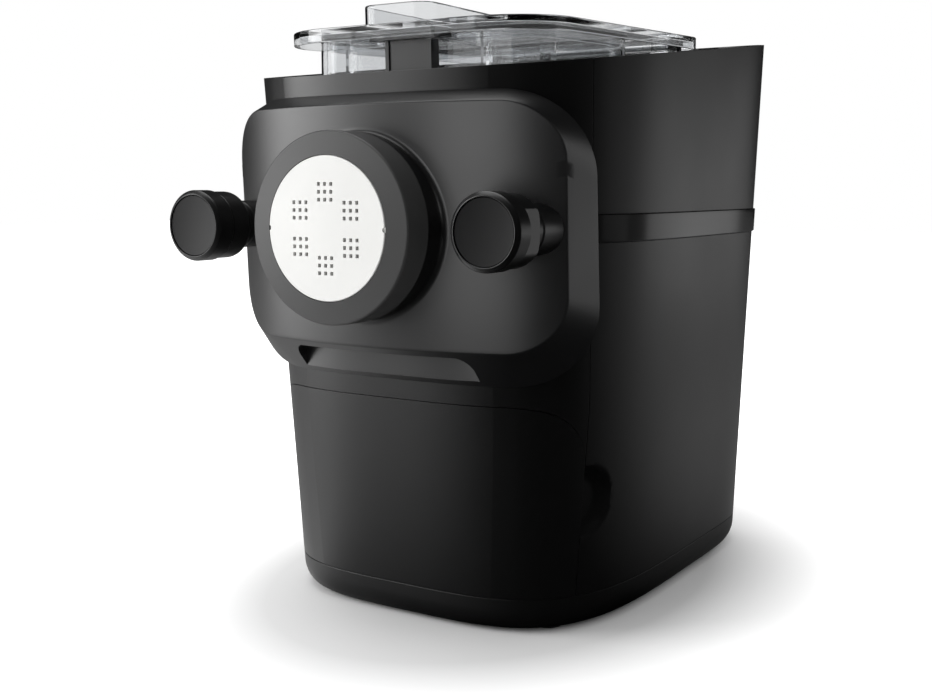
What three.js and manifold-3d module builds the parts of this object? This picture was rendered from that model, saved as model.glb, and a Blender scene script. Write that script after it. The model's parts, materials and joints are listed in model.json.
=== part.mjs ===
// Electric pasta maker, in millimetres: +X right, +Y back, +Z up, z = 0 on the table.
// Inside the file y counts back from the face of the shaping disc; the outer group centres the machine.
import * as THREE from "three";
import { mergeVertices } from "three/addons/utils/BufferGeometryUtils.js";
import { ConvexGeometry } from "three/addons/geometries/ConvexGeometry.js";
import Module from "manifold-3d";

const wasm = await Module();
wasm.setup();

// Housing: a rounded plan that narrows towards the table, with a rim that climbs to the back
const overallDepth = 342;
const axisHeight = 218;
const housingHalfWidth = 108.8;
const housingFrontY = 62.2;
const bandReach = 2;
const housingBackY = overallDepth - bandReach;
const sideFlareShare = 0.04;
const frontLeanShare = 0.072;
const backLeanShare = 0.005;
const widestShare = 0.65;
const frontPowerShares = [3.588, 4.37];
const backPowerShares = [4.403, 4.472];
const rimRise = 79.3;
const rimFrontHeight = axisHeight + rimRise;
const rimSlopeShare = 0.119;
const housingWall = 2.5;
const shellSeamY = 94;
const seamLeanShare = 0.069;
const outlineSteps = 36;

// Gaps
const seamGap = 0.3;
const runningGap = 0.3;
const cutOverrun = 4;

// Base pan and feet
const baseSeamHeight = 20;
const baseBottomHeight = 1.5;
const baseFloorThickness = 3;
const baseWall = 3;
const baseRoundingHeights = [1.5, 4.5, 11];
const baseRoundingInsets = [7, 2.6, 0.5];
const footRadius = 9;
const footHeight = 3;
const footSink = 1.4;
const footRearInset = 40;
const footPlaces = { x: 74, front: 98, rear: housingBackY - footRearInset };
const baseScrewBossRadius = 5.5;
const baseScrewBossTop = 9;
const baseScrewHead = { radius: 3.6, height: 2.2 };
const baseScrewShankRadius = 1.8;
const baseScrewLength = 16;

// Mixing chamber
const chamberFrontY = 81;
const chamberShare = 0.459;
const chamberRearY = chamberFrontY + chamberShare * (housingBackY - chamberFrontY);
const chamberHalfWidth = 75;
const chamberWall = 3;
const troughRadius = 59;
const flareRise = 48;
const flareHeight = axisHeight + flareRise;
const chamberCornerRadius = 19;
const chamberRib = { x: 44, width: 3, depth: 3 };
const chamberFootHalfWidth = 36;

// Drawer
const drawerDrop = 92.7;
const drawerTopHeight = axisHeight - drawerDrop;
const drawerCornerRadius = 34;
const trayHalfWidth = 78;
const trayFrontY = 82;
const trayRearGap = 1;
const trayRearY = chamberRearY - trayRearGap;
const trayBottomHeight = 26;
const trayTopDrop = 13.3;
const trayTopHeight = drawerTopHeight - trayTopDrop;
const trayWall = 2;
const trayRib = { width: 3.5, thickness: 2.5, front: 8 };
const drawerBoss = { x: 50, width: 10, height: 30, bottom: 48 };
const runnerInsets = { front: 20, rear: 3 };
const runner = {
  webX: 83,
  webThickness: 3,
  flangeX: 79,
  height: 64,
  flange: 3,
  front: trayFrontY + runnerInsets.front,
  rear: trayRearY - runnerInsets.rear,
};

// Finger scoops beside the drawer front
const scoopRadius = 19.5;
const scoopDepth = 6.5;
const scoopHeight = (baseSeamHeight + drawerTopHeight) / 2;
const scoopFloor = 2.2;

// Trim band round the sides and back
const bandDrop = 7.9;
const bandWidth = 14.5;
const bandBottomHeight = axisHeight - bandDrop;
const bandTopHeight = bandBottomHeight + bandWidth;
const bandProud = 1;
const bandSink = 1.1;

// Rear wall details
const vent = { count: 7, pitch: 11, width: 3.2, height: 46, bottom: 74 };
const inlet = { x: 40, z: 52, width: 27, height: 20, wall: 2, depth: 24, flange: 3, flangeThickness: 2 };
const inletPin = { width: 2, height: 4, length: 12, pitch: 7, drop: 3.4 };

// Front cover: a bowed plate with a bevelled edge
const coverCrownY = 29.9;
const coverBow = 287;
const coverSweepReach = 60.3;
const coverRearBow = 254;
const coverLeanShare = 0.05;
const coverFace = { halfWidth: 104.4, top: 62.3, bottom: -62.6, radius: 28.6 };
const coverBevelReach = 9.8;
const coverRim = { halfWidth: coverFace.halfWidth + coverBevelReach, top: 68.8, bottom: -82, radius: 43 };
const coverWall = 3;
const coverSeat = 0.7;
const coverHollowInset = 6.4;
const coverHollow = { halfWidth: coverFace.halfWidth - coverHollowInset, top: 58, bottom: -56, radius: 32 };
const coverCornerSteps = 5;
const coverStraightSteps = 8;
const gripSlot = { halfWidth: 57, top: -65.6, bottom: -88, radius: 7, wall: 1.6, frontY: 20 };

// Extrusion tube, clamp ring and shaping disc
const tubeBore = 33.5;
const tubeOuter = 40.5;
const tubeFrontY = 6.3;
const tubeRearY = 86;
const tubeFlange = { radius: 50, front: 41, thickness: 3 };
const tubeLug = { outer: 42.9, front: 13, thickness: 4, angle: 40 };
const ringOuter = 48.4;
const ringLip = 36.4;
const ringLipBack = 2;
const ringEdgeY = 2.2;
const ringFaceY = 0.5;
const ringRearY = 19.8;
const ringChamfer = 1.2;
const ringLugFront = 17.4;
const collarOuter = 47.6;
const discFaceRadius = 36;
const discFlangeRadius = 38.8;
const discStep = 2.3;
const discBackY = 6;
const discNotchRadius = 1.3;
const dieHole = { side: 1.9, pitch: 3.85, groupRadius: 18.2, perRow: 3, groups: 6 };
const slotDie = { width: 15, height: 2, ring: 21, count: 6 };

// Knobs
const knobX = 90.5;
const knobHeadRadius = 18.9;
const knobFaceRadius = 16.4;
const knobFaceY = 1.2;
const knobRimY = 3.4;
const knobHeadBackY = 13;
const knobGroove = 0.9;
const knobCollarRadius = 18.1;
const knobFlat = 14.4;
const knobCollarBackY = 29;
const knobRounding = 3.5;
const knobNeckRadius = 12.4;
const knobNeckBackY = 36;
const knobRecess = 4.6;
const capThickness = 2.6;
const capDish = 0.9;
const bossRadius = 13;
const bossBackY = 55.5;
const stemRadius = 4;
const stemFrontY = 9;
const stemRearY = 108;
const socket = { radius: 8.2, front: 91, rear: 112 };

// Lid, tilted a little so that it climbs to the back
const lidTiltShare = 0.038;
const lidRise = 16.9;
const lidHeight = rimFrontHeight + lidRise;
const lidHalfWidth = 86.5;
const lidFrontY = 56;
const lidRearInset = 65;
const lidRearY = housingBackY - lidRearInset;
const lidFrontRadius = 42;
const lidRearRadius = 12;
const lidEdge = 7.3;
const lidPlate = 3;
const lidRimWall = 3;
const lipWall = 2;
const lipDepth = 6.5;
const lipGap = 1;
const sealThickness = 1.6;
const pourWall = { halfWidth: 22, front: 58.5, rear: 150, radius: 10, wall: 2.2, height: 10 };
const pourSlot = { width: 24, length: 12, pitch: 19, count: 3, front: 91 };
const hingeReach = 7.5;
const hinge = { y: lidRearY + hingeReach, rise: 3.7, pin: 2, bore: 2.4, ear: 4.4, earX: 52, earWidth: 10, lugWidth: 6, pinReach: 66 };

// Lid latch
const latchPlate = { halfWidth: 23.5, front: 68.5, back: 80.2, thickness: 2.6, rise: -0.4 };
const latchBody = { halfWidth: 15, front: 73.5, back: 80.2, drop: 17.4 };
const latchRail = { inner: 24.2, outer: 26.6, ledgeInner: 21.6, ledge: 1.4 };

// Top deck, under the rim
const deckDrop = 8;
const deckThickness = 2.5;
const deckGap = 0.8;
const panelReach = 16;
const panelFrontY = lidRearY + panelReach;
const panelTopDrop = 0.6;
const panelPlate = 2.2;

// Inner frame
const framePlateDrop = 86;
const framePlateTop = axisHeight - framePlateDrop;
const framePlateThickness = 4;
const cheekInset = 16;
const cheekRise = 64;
const frameGap = 1.2;
const cheek = { inner: 92, thickness: 3, front: chamberFrontY + cheekInset, top: axisHeight + cheekRise };
const frameRear = { front: chamberRearY + frameGap, thickness: 3.8, top: cheek.top };
const frameLegShares = [0.32, 0.866];
const frameLegPlaces = frameLegShares.map((share) => chamberFrontY + share * (chamberRearY - chamberFrontY));
const frameLeg = { x: 89, width: 7, depth: 12, front: frameLegPlaces[0], rear: frameLegPlaces[1] };
const loadCellInsets = { front: 13, rear: 26 };
const loadCell = {
  halfLength: 40,
  side: 12,
  front: chamberFrontY + loadCellInsets.front,
  rear: chamberRearY - loadCellInsets.rear,
  hole: 3.4,
  holeSpread: 3.6,
};

// Gear train: module is pitch diameter over teeth
const slowModule = 3.6;
const fastModule = 2.25;
const outputTeeth = 27;
const smallTeeth = 9;
const bigTeeth = 40;
const pinionTeeth = 8;
const toothTipShare = 0.85;
const toothRootShare = 1.15;
const rootWidthShare = 0.5;
const tipWidthShare = 0.22;
const gearboxGap = 5.4;
const gearboxFrontY = chamberRearY + gearboxGap;
const gearInset = 9.1;
const gearSpacing = 14.5;
const gearboxTail = 12;
const outputGear = { front: gearboxFrontY + gearInset, width: 11 };
const bigGear = { front: outputGear.front + gearSpacing, width: 8 };
const smallGearRearGap = 0;
const axleRadius = 4;
const gearboxWall = 3;
const gearboxRearY = bigGear.front + gearboxTail;
const gearboxTipGap = 3;
const coverPlate = 3;

// Shaft
const shaftRadius = 6;
const shaftFrontY = 74;
const shaftRearY = bigGear.front + bigGear.width;
const bearing = { outer: 15, inner: 6.3, width: 5 };
const seal = { outer: 13.5, inner: 6.3 };

// Screw and paddle
const screw = { front: 13, rear: 87, core: 12, flight: 32, pitch: 27, turns: 2.5, rootWidth: 6, tipWidth: 3, bore: 11 };
const screwStepsPerTurn = 10;
const paddleGap = 6;
const paddle = { front: 88, rear: chamberRearY - paddleGap, hub: 11, reach: 47, arm: 11, armThickness: 8, blade: 30, bladeWidth: 9 };
const paddleBladeThickness = 6;
const paddleCount = 3;

// Motor
const motorGap = 3.8;
const motorTail = 26;
const motorEnds = [gearboxRearY + motorGap, housingBackY - motorTail];
const motorLength = motorEnds[1] - motorEnds[0];
const motor = { front: motorEnds[0], rear: motorEnds[1], radius: 36, wall: 2.5, bossRadius: 14 };
const rotorShares = { front: 0.162, rear: 0.798 };
const rotorTail = 17;
const rotor = {
  shaft: 4,
  core: 24,
  front: motor.front + rotorShares.front * motorLength,
  rear: motor.front + rotorShares.rear * motorLength,
  shaftEnd: motor.rear + rotorTail,
  hole: 5.5,
};
const fanGap = 5;
const fan = { front: motor.rear + fanGap, rear: rotor.shaftEnd - 1, hub: 8, reach: 30, bladeThickness: 2, count: 7, twist: 35 };

// Boards
const boardDrop = 72;
const boardRise = 30;
const powerBoard = { halfWidth: 50, bottom: axisHeight - boardDrop, top: axisHeight + boardRise, thickness: 1.6, standoff: 5, standoffRadius: 4 };
const boardParts = [
  { xShare: -0.5, zShare: 0.3, width: 26, height: 30, depth: 20 },
  { xShare: 0.35, zShare: 0.28, width: 18, height: 18, depth: 26 },
  { xShare: 0.3, zShare: 0.72, width: 34, height: 22, depth: 14 },
  { xShare: -0.45, zShare: 0.75, width: 14, height: 14, depth: 18 },
];
const controlBoard = { halfWidth: 76, halfLength: 17, thickness: 1.6 };
const display = { width: 76, height: 22, radius: 4, thickness: 1.5 };
const button = { radius: 6.5, stem: 3, proud: 0.9, flange: 7.6, flangeThickness: 1, travel: 1 };
const buttonPlaces = [
  ["power_button", -76],
  ["menu_button", -56],
  ["tare_button", 56],
  ["start_button", 76],
];
const sensor = { width: 16, depth: 4, height: 7, front: 58.5 };

// Facets
const roundSteps = 26;
const knobSteps = 18;
const middleSteps = 16;
const smallSteps = 12;
const tinySteps = 8;
const cornerSteps = 2;

// Materials
const satinBlack = plastic(0x1d1e20, 0.42);
const softBlack = plastic(0x151617, 0.55);
const glossBlack = plastic(0x08090a, 0.12);
const ringGrey = plastic(0x3c3d3f, 0.45);
const white = plastic(0xe9e9e6, 0.4);
const innerGrey = plastic(0x8d9196, 0.6);
const boardGreen = plastic(0x1f5a3a, 0.6);
const rubber = plastic(0x1a1a1a, 0.85);
const steel = metal(0xb9bcc0, 0.35);
const gearNylon = plastic(0xd9d4c4, 0.55);
const smoky = plastic(0xcfd3d6, 0.08);
smoky.transparent = true;
smoky.opacity = 0.35;

function plastic(color, roughness) {
  return new THREE.MeshStandardMaterial({ color, roughness, metalness: 0 });
}

function metal(color, roughness) {
  return new THREE.MeshStandardMaterial({ color, roughness, metalness: 1 });
}

// Solids
// A closed geometry as a solid: shared corners merged, flat triangles dropped, faces turned outwards.
function closed(geometry) {
  const bare = new THREE.BufferGeometry();
  bare.setAttribute("position", geometry.getAttribute("position").clone());
  if (geometry.index) bare.setIndex(geometry.index.clone());
  const merged = mergeVertices(bare, 1e-4);
  const corners = merged.getAttribute("position");
  const [a, b, c] = [new THREE.Vector3(), new THREE.Vector3(), new THREE.Vector3()];
  const faces = [];
  let volume = 0;
  for (let i = 0; i < merged.index.count; i += 3) {
    const face = [merged.index.getX(i), merged.index.getX(i + 1), merged.index.getX(i + 2)];
    if (new Set(face).size < 3) continue;
    faces.push(face);
    a.fromBufferAttribute(corners, face[0]);
    b.fromBufferAttribute(corners, face[1]);
    c.fromBufferAttribute(corners, face[2]);
    volume += a.dot(b.cross(c));
  }
  if (volume < 0) faces.forEach((face) => face.reverse());
  const triVerts = new Uint32Array(faces.flat());
  return new wasm.Manifold(new wasm.Mesh({ numProp: 3, vertProperties: corners.array, triVerts }));
}

function asSolid(shape) {
  return shape.isBufferGeometry ? closed(shape) : shape;
}

function cut(first, ...others) {
  return others.flat().reduce((solid, other) => solid.subtract(asSolid(other)), asSolid(first));
}

function fuse(first, ...others) {
  return others.flat().reduce((solid, other) => solid.add(asSolid(other)), asSolid(first));
}

function common(first, ...others) {
  return others.flat().reduce((solid, other) => solid.intersect(asSolid(other)), asSolid(first));
}

function piece(name, shape, material) {
  const { vertProperties, triVerts } = asSolid(shape).getMesh();
  const geometry = new THREE.BufferGeometry();
  geometry.setAttribute("position", new THREE.BufferAttribute(vertProperties, 3));
  geometry.setIndex(new THREE.BufferAttribute(triVerts, 1));
  const mesh = new THREE.Mesh(geometry.toNonIndexed(), material);
  mesh.geometry.computeVertexNormals();
  mesh.name = name;
  return mesh;
}

// Plain shapes
function box(x0, x1, y0, y1, z0, z1) {
  const geometry = new THREE.BoxGeometry(x1 - x0, y1 - y0, z1 - z0);
  return geometry.translate((x0 + x1) / 2, (y0 + y1) / 2, (z0 + z1) / 2);
}

// A profile of [radius, y] pairs turned about the Y axis.
function turned(profile, steps = middleSteps) {
  return new THREE.LatheGeometry(
    profile.map(([r, y]) => new THREE.Vector2(r, y)),
    steps,
  );
}

function rod(radius, y0, y1, steps = smallSteps) {
  return turned([[0, y0], [radius, y0], [radius, y1], [0, y1]], steps);
}

function tube(outer, inner, y0, y1, steps = middleSteps) {
  return turned([[inner, y0], [outer, y0], [outer, y1], [inner, y1], [inner, y0]], steps);
}

function upright(geometry) {
  return geometry.rotateX(Math.PI / 2);
}

function sideways(geometry) {
  return geometry.rotateZ(-Math.PI / 2);
}

function roundedShape(x0, x1, y0, y1, frontRadius, backRadius = frontRadius) {
  const shape = new THREE.Shape();
  shape.absarc(x1 - frontRadius, y0 + frontRadius, frontRadius, -Math.PI / 2, 0);
  shape.absarc(x1 - backRadius, y1 - backRadius, backRadius, 0, Math.PI / 2);
  shape.absarc(x0 + backRadius, y1 - backRadius, backRadius, Math.PI / 2, Math.PI);
  shape.absarc(x0 + frontRadius, y0 + frontRadius, frontRadius, Math.PI, 1.5 * Math.PI);
  shape.closePath();
  return shape;
}

function polygon(points) {
  return new THREE.Shape(points.map(([x, y]) => new THREE.Vector2(x, y)));
}

function extruded(shape, depth, curveSegments = cornerSteps) {
  return new THREE.ExtrudeGeometry(shape, { depth, bevelEnabled: false, curveSegments });
}

// A shape in X and Y between two heights.
function standing(shape, z0, z1, curveSegments) {
  return extruded(shape, z1 - z0, curveSegments).translate(0, 0, z0);
}

// A shape in X and Z between two depths.
function facing(shape, y0, y1, curveSegments) {
  return extruded(shape, y1 - y0, curveSegments).rotateX(Math.PI / 2).translate(0, y1, 0);
}

// A shape in Y and Z between two places across.
function crossing(shape, x0, x1, curveSegments) {
  const turn = new THREE.Matrix4().makeBasis(
    new THREE.Vector3(0, 1, 0),
    new THREE.Vector3(0, 0, 1),
    new THREE.Vector3(1, 0, 0),
  );
  return extruded(shape, x1 - x0, curveSegments).applyMatrix4(turn).translate(x0, 0, 0);
}

// Closed rings of points joined into a skin, with a fan at each end.
function loft(rings) {
  const count = rings[0].length;
  const points = rings.flat();
  const faces = [];
  for (let r = 0; r + 1 < rings.length; r++) {
    for (let i = 0; i < count; i++) {
      const [p, q] = [r * count + i, r * count + ((i + 1) % count)];
      faces.push(p, q, q + count, p, q + count, p + count);
    }
  }
  [rings[0], rings[rings.length - 1]].forEach((ring, end) => {
    const centre = ring.reduce((sum, point) => sum.add(point), new THREE.Vector3()).divideScalar(count);
    const start = end * (rings.length - 1) * count;
    points.push(centre);
    for (let i = 0; i < count; i++) {
      const rim = [start + i, start + ((i + 1) % count)];
      faces.push(points.length - 1, ...(end ? rim : rim.reverse()));
    }
  });
  return new THREE.BufferGeometry().setFromPoints(points).setIndex(faces);
}

// Housing surfaces
function planAt(height, inset) {
  const rise = height - baseSeamHeight;
  const halfWidth = housingHalfWidth + sideFlareShare * rise - inset;
  const front = housingFrontY - frontLeanShare * rise + inset;
  const back = housingBackY + backLeanShare * rise - inset;
  return { halfWidth, front, back, widest: front + widestShare * (back - front) };
}

function housingRing(height, inset = 0) {
  const plan = planAt(height, inset);
  const ring = [];
  for (let i = 0; i < outlineSteps; i++) {
    const angle = (2 * Math.PI * i) / outlineSteps;
    const [across, along] = [Math.cos(angle), Math.sin(angle)];
    const [sidePower, endPower] = along < 0 ? frontPowerShares : backPowerShares;
    const reach = along < 0 ? plan.widest - plan.front : plan.back - plan.widest;
    const x = plan.halfWidth * Math.sign(across) * Math.abs(across) ** (2 / sidePower);
    const y = plan.widest + reach * Math.sign(along) * Math.abs(along) ** (2 / endPower);
    ring.push(new THREE.Vector3(x, y, height));
  }
  return ring;
}

function housingSolid(bottom, top, inset = 0) {
  return loft([housingRing(bottom, inset), housingRing(top, inset)]);
}

// The front of the housing at a place across and a height.
function housingFrontAt(x, height) {
  const plan = planAt(height, 0);
  const share = Math.min(Math.abs(x) / plan.halfWidth, 1);
  const [sidePower, endPower] = frontPowerShares;
  return plan.widest - (plan.widest - plan.front) * (1 - share ** sidePower) ** (1 / endPower);
}

const rimFrontY = planAt(rimFrontHeight, 0).front;
const housingTop = rimFrontHeight + rimSlopeShare * (overallDepth + cutOverrun);
const cutReach = 2 * housingHalfWidth;

function rimAt(y) {
  return rimFrontHeight + rimSlopeShare * (y - rimFrontY);
}

// The space across the whole machine between two planes parallel to the rim, behind a given depth.
function rimSlab(lowerDrop, upperDrop, frontY = 0) {
  const backY = overallDepth + cutOverrun;
  const profile = [
    [frontY, rimAt(frontY) - lowerDrop],
    [backY, rimAt(backY) - lowerDrop],
    [backY, rimAt(backY) - upperDrop],
    [frontY, rimAt(frontY) - upperDrop],
  ];
  return crossing(polygon(profile), -cutReach, cutReach);
}

// What the drawer front fills, seen from the side, grown or shrunk by a gap.
function drawerSpace(gap) {
  const [bottom, top, back] = [baseSeamHeight - gap, drawerTopHeight + gap, shellSeamY + gap];
  const shape = new THREE.Shape();
  shape.moveTo(-cutReach, bottom);
  shape.lineTo(back, bottom);
  shape.lineTo(back, top - drawerCornerRadius);
  shape.absarc(back - drawerCornerRadius, top - drawerCornerRadius, drawerCornerRadius, 0, Math.PI / 2);
  shape.lineTo(-cutReach, top);
  shape.closePath();
  return crossing(shape, -cutReach, cutReach);
}

const halfGap = seamGap / 2;

// Base pan
function basePan() {
  const top = baseSeamHeight - halfGap;
  const rings = baseRoundingHeights.map((height, i) => housingRing(height, baseRoundingInsets[i]));
  const outer = loft([...rings, housingRing(top)]);
  const floor = baseBottomHeight + baseFloorThickness;
  const inner = loft([
    housingRing(floor, baseWall + baseRoundingInsets[1]),
    housingRing(top + cutOverrun, baseWall),
  ]);
  const bosses = legPlaces().map(([x, y]) =>
    upright(rod(baseScrewBossRadius, floor - halfGap, baseScrewBossTop, tinySteps)).translate(x, y, 0),
  );
  const pan = fuse(cut(outer, inner), bosses);
  const holes = legPlaces().flatMap(([x, y]) => [
    upright(rod(baseScrewShankRadius + runningGap, -cutOverrun, baseScrewBossTop + cutOverrun, tinySteps)),
    upright(rod(baseScrewHead.radius + runningGap, -cutOverrun, screwHeadTop() + runningGap, tinySteps)),
  ].map((hole) => hole.translate(x, y, 0)));
  const footWells = footSpots().map(([, x, y]) =>
    upright(rod(footRadius + runningGap, -cutOverrun, baseBottomHeight + footSink)).translate(x, y, 0),
  );
  return piece("base_pan", cut(pan, holes, footWells), softBlack);
}

function screwHeadTop() {
  return baseBottomHeight + baseScrewHead.height;
}

function legPlaces() {
  const x = frameLeg.x + frameLeg.width / 2;
  const rows = [frameLeg.front, frameLeg.rear].map((y) => y + frameLeg.depth / 2);
  return rows.flatMap((y) => [[-x, y], [x, y]]);
}

function footSpots() {
  const { x, front, rear } = footPlaces;
  return [["front_left", -x, front], ["front_right", x, front], ["rear_left", -x, rear], ["rear_right", x, rear]];
}

function feet() {
  const top = Math.min(footHeight, baseBottomHeight + footSink - runningGap);
  return footSpots().map(([corner, x, y]) => {
    const foot = piece("foot_" + corner, upright(rod(footRadius, 0, top)), rubber);
    foot.position.set(x, y, 0);
    return foot;
  });
}

function baseScrews() {
  const headBottom = screwHeadTop() - baseScrewHead.height;
  return legPlaces().map(([x, y], i) => {
    const profile = [
      [0, headBottom],
      [baseScrewHead.radius, headBottom],
      [baseScrewHead.radius, screwHeadTop()],
      [baseScrewShankRadius, screwHeadTop()],
      [baseScrewShankRadius, headBottom + baseScrewLength],
      [0, headBottom + baseScrewLength],
    ];
    const screwPiece = piece("base_screw_" + (i + 1), upright(turned(profile, tinySteps)), steel);
    screwPiece.position.set(x, y, 0);
    return screwPiece;
  });
}

// Housing shells
function shellSkin(bottom) {
  const skin = cut(
    housingSolid(bottom, housingTop),
    housingSolid(bottom - cutOverrun, housingTop + cutOverrun, housingWall),
  );
  return cut(skin, rimSlab(0, -cutReach));
}

// The seam between the shells stands straight beside the drawer and then leans with the front.
function seamAt(height) {
  return shellSeamY - seamLeanShare * Math.max(0, height - drawerTopHeight);
}

// The space between the seam, moved by a gap, and a plane across the machine.
function besideSeam(gap, farY) {
  const heights = [-cutOverrun, drawerTopHeight, housingTop + cutOverrun];
  const seam = heights.map((height) => [seamAt(height) + gap, height]);
  const profile = [[farY, heights[0]], ...seam, [farY, heights[2]]];
  return crossing(polygon(profile), -cutReach, cutReach);
}

function behindSeam(gap) {
  return besideSeam(gap, overallDepth + cutOverrun);
}

function bodyShell() {
  const bottom = baseSeamHeight + halfGap;
  const back = common(shellSkin(bottom), behindSeam(halfGap));
  const pads = [-1, 1].map((side) => scoopPad(side));
  const scoops = [-1, 1].map((side) => scoopCut(side));
  const groove = bandSolid(bandSink + runningGap, -cutOverrun, runningGap);
  const walls = cut(fuse(back, pads), scoops, groove, ventCuts(), inletHole(runningGap));
  return piece("body_shell", walls, satinBlack);
}

function sideAt(height) {
  return planAt(height, 0).halfWidth;
}

function scoopPad(side) {
  const reach = scoopRadius + scoopFloor;
  const [z0, z1] = [scoopHeight - reach, scoopHeight + reach];
  const pad = cut(housingSolid(z0, z1, halfGap), housingSolid(z0, z1, scoopDepth + scoopFloor));
  const [x0, x1] = side < 0 ? [-cutReach, 0] : [0, cutReach];
  return common(pad, box(x0, x1, shellSeamY + halfGap, shellSeamY + reach, z0, z1));
}

function scoopCut(side) {
  const reach = shellSeamY + scoopRadius;
  const dish = housingSolid(scoopHeight - scoopRadius, scoopHeight + scoopRadius, scoopDepth);
  const span = side < 0 ? [-cutReach, 0] : [0, cutReach];
  const drum = sideways(rod(scoopRadius, ...span, middleSteps)).translate(0, shellSeamY, scoopHeight);
  return common(cut(drum, dish), box(-cutReach, cutReach, 0, reach, 0, housingTop));
}

// The ring of space that the band fills: from an inner inset to an outer one.
function bandSolid(innerInset, outerInset, gap) {
  const [z0, z1] = [bandBottomHeight - gap, bandTopHeight + gap];
  const ring = cut(housingSolid(z0, z1, outerInset), housingSolid(z0 - cutOverrun, z1 + cutOverrun, innerInset));
  return common(ring, behindSeam(gap ? -cutOverrun : halfGap));
}

function trimBand() {
  return piece("trim_band", bandSolid(bandSink, -bandProud, 0), glossBlack);
}

function ventCuts() {
  const [y0, y1] = [housingBackY - cutReach / 2, housingBackY + cutOverrun];
  const first = (-(vent.count - 1) * vent.pitch) / 2;
  return Array.from({ length: vent.count }, (_, i) => {
    const x = first + i * vent.pitch;
    return box(x - vent.width / 2, x + vent.width / 2, y0, y1, vent.bottom, vent.bottom + vent.height);
  });
}

function inletHole(gap) {
  const { x, z, width, height } = inlet;
  const [halfX, halfZ] = [width / 2 + gap, height / 2 + gap];
  return box(x - halfX, x + halfX, housingBackY - inlet.depth, overallDepth + cutOverrun, z - halfZ, z + halfZ);
}

function powerInlet() {
  const { x, z, width, height, wall } = inlet;
  const [halfX, halfZ] = [width / 2, height / 2];
  const backY = planAt(z, 0).back;
  const innerY = backY - housingWall;
  const body = box(x - halfX, x + halfX, backY - inlet.depth, backY, z - halfZ, z + halfZ);
  const edge = inlet.flange;
  const lugY = innerY - inlet.flangeThickness - runningGap;
  const lug = common(
    box(x - halfX - edge, x + halfX + edge, lugY, innerY, z - halfZ, z + halfZ),
    housingSolid(z - height, z + height, housingWall + runningGap),
  );
  const [wellX, wellZ] = [halfX - wall, halfZ - wall];
  const well = box(x - wellX, x + wellX, backY - inlet.depth + wall, backY + cutOverrun, z - wellZ, z + wellZ);
  const pins = [-1, 0, 1].map((place) => {
    const pinX = x + place * inletPin.pitch;
    const pinZ = z - inletPin.drop;
    const [w, h] = [inletPin.width / 2, inletPin.height / 2];
    const y0 = backY - inlet.depth + wall / 2;
    return box(pinX - w, pinX + w, y0, y0 + inletPin.length, pinZ - h, pinZ + h);
  });
  return piece("power_inlet", fuse(cut(fuse(body, lug), well), pins), softBlack);
}

function frontShell() {
  const bottom = baseSeamHeight;
  const beforeSeam = besideSeam(-halfGap, 0);
  const floor = common(
    housingSolid(drawerTopHeight, drawerTopHeight + halfGap + housingWall, housingWall / 2),
    beforeSeam,
  );
  const skin = common(fuse(shellSkin(bottom), floor), beforeSeam);
  const tubeHole = facing(circle(tubeOuter + cutOverrun / 2), 0, chamberFrontY, roundSteps / 2);
  const stemHoles = [-1, 1].map((side) =>
    facing(circle(stemRadius + cutOverrun / 4), 0, chamberFrontY + cutOverrun, smallSteps / 2)
      .translate(side * knobX, 0, axisHeight),
  );
  const openings = [tubeHole.translate(0, 0, axisHeight), ...stemHoles];
  return piece("front_shell", cut(skin, drawerSpace(halfGap), openings), satinBlack);
}

function circle(radius) {
  return new THREE.Shape().absarc(0, 0, radius, 0, 2 * Math.PI);
}

// Top deck with the hinge lugs
function topDeck() {
  const slab = rimSlab(deckDrop + deckThickness, deckDrop);
  const inside = housingSolid(rimFrontHeight / 2, housingTop, housingWall + deckGap / 2);
  const opening = chamberPlan(deckGap, rimFrontHeight / 2, housingTop);
  const lugs = [-1, 1].flatMap((side) => hingeLug(side));
  return piece("top_deck", fuse(cut(common(inside, slab), opening), lugs), softBlack);
}

function hingeLug(side) {
  const inner = hinge.earX + hinge.earWidth + runningGap;
  const outer = inner + hinge.lugWidth;
  const [x0, x1] = side < 0 ? [-outer, -inner] : [inner, outer];
  const { y, z } = hingeAxis();
  const post = box(x0, x1, y - hinge.ear, y + hinge.ear, rimAt(y) - deckDrop - deckThickness / 2, z);
  const eye = sideways(rod(hinge.ear, x0, x1)).translate(0, y, z);
  const bore = sideways(rod(hinge.bore, x0 - cutOverrun, x1 + cutOverrun, tinySteps)).translate(0, y, z);
  return cut(fuse(post, eye), bore);
}

function hingeAxis() {
  const tilt = Math.atan(lidTiltShare);
  const [sin, cos] = [Math.sin(tilt), Math.cos(tilt)];
  return { y: hinge.y * cos - hinge.rise * sin, z: lidHeight + hinge.y * sin + hinge.rise * cos };
}

function lidHingePin() {
  const pin = piece("lid_hinge_pin", sideways(rod(hinge.pin, -hinge.pinReach, hinge.pinReach, tinySteps)), steel);
  const { y, z } = hingeAxis();
  pin.position.set(0, y, z);
  return pin;
}

// Mixing chamber: a trough round the paddle that flares to a wide mouth
function chamberPlan(grow, z0, z1) {
  const [x, r] = [chamberHalfWidth + grow, chamberCornerRadius + grow];
  return standing(roundedShape(-x, x, chamberFrontY - grow, chamberRearY + grow, r), z0, z1);
}

function chamberProfile(inset) {
  const [r, x, top] = [troughRadius - inset, chamberHalfWidth - inset, housingTop];
  const shape = new THREE.Shape();
  shape.absarc(0, axisHeight, r, Math.PI, 2 * Math.PI);
  shape.lineTo(x, flareHeight);
  shape.lineTo(x, top);
  shape.lineTo(-x, top);
  shape.lineTo(-x, flareHeight);
  shape.closePath();
  return shape;
}

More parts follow.
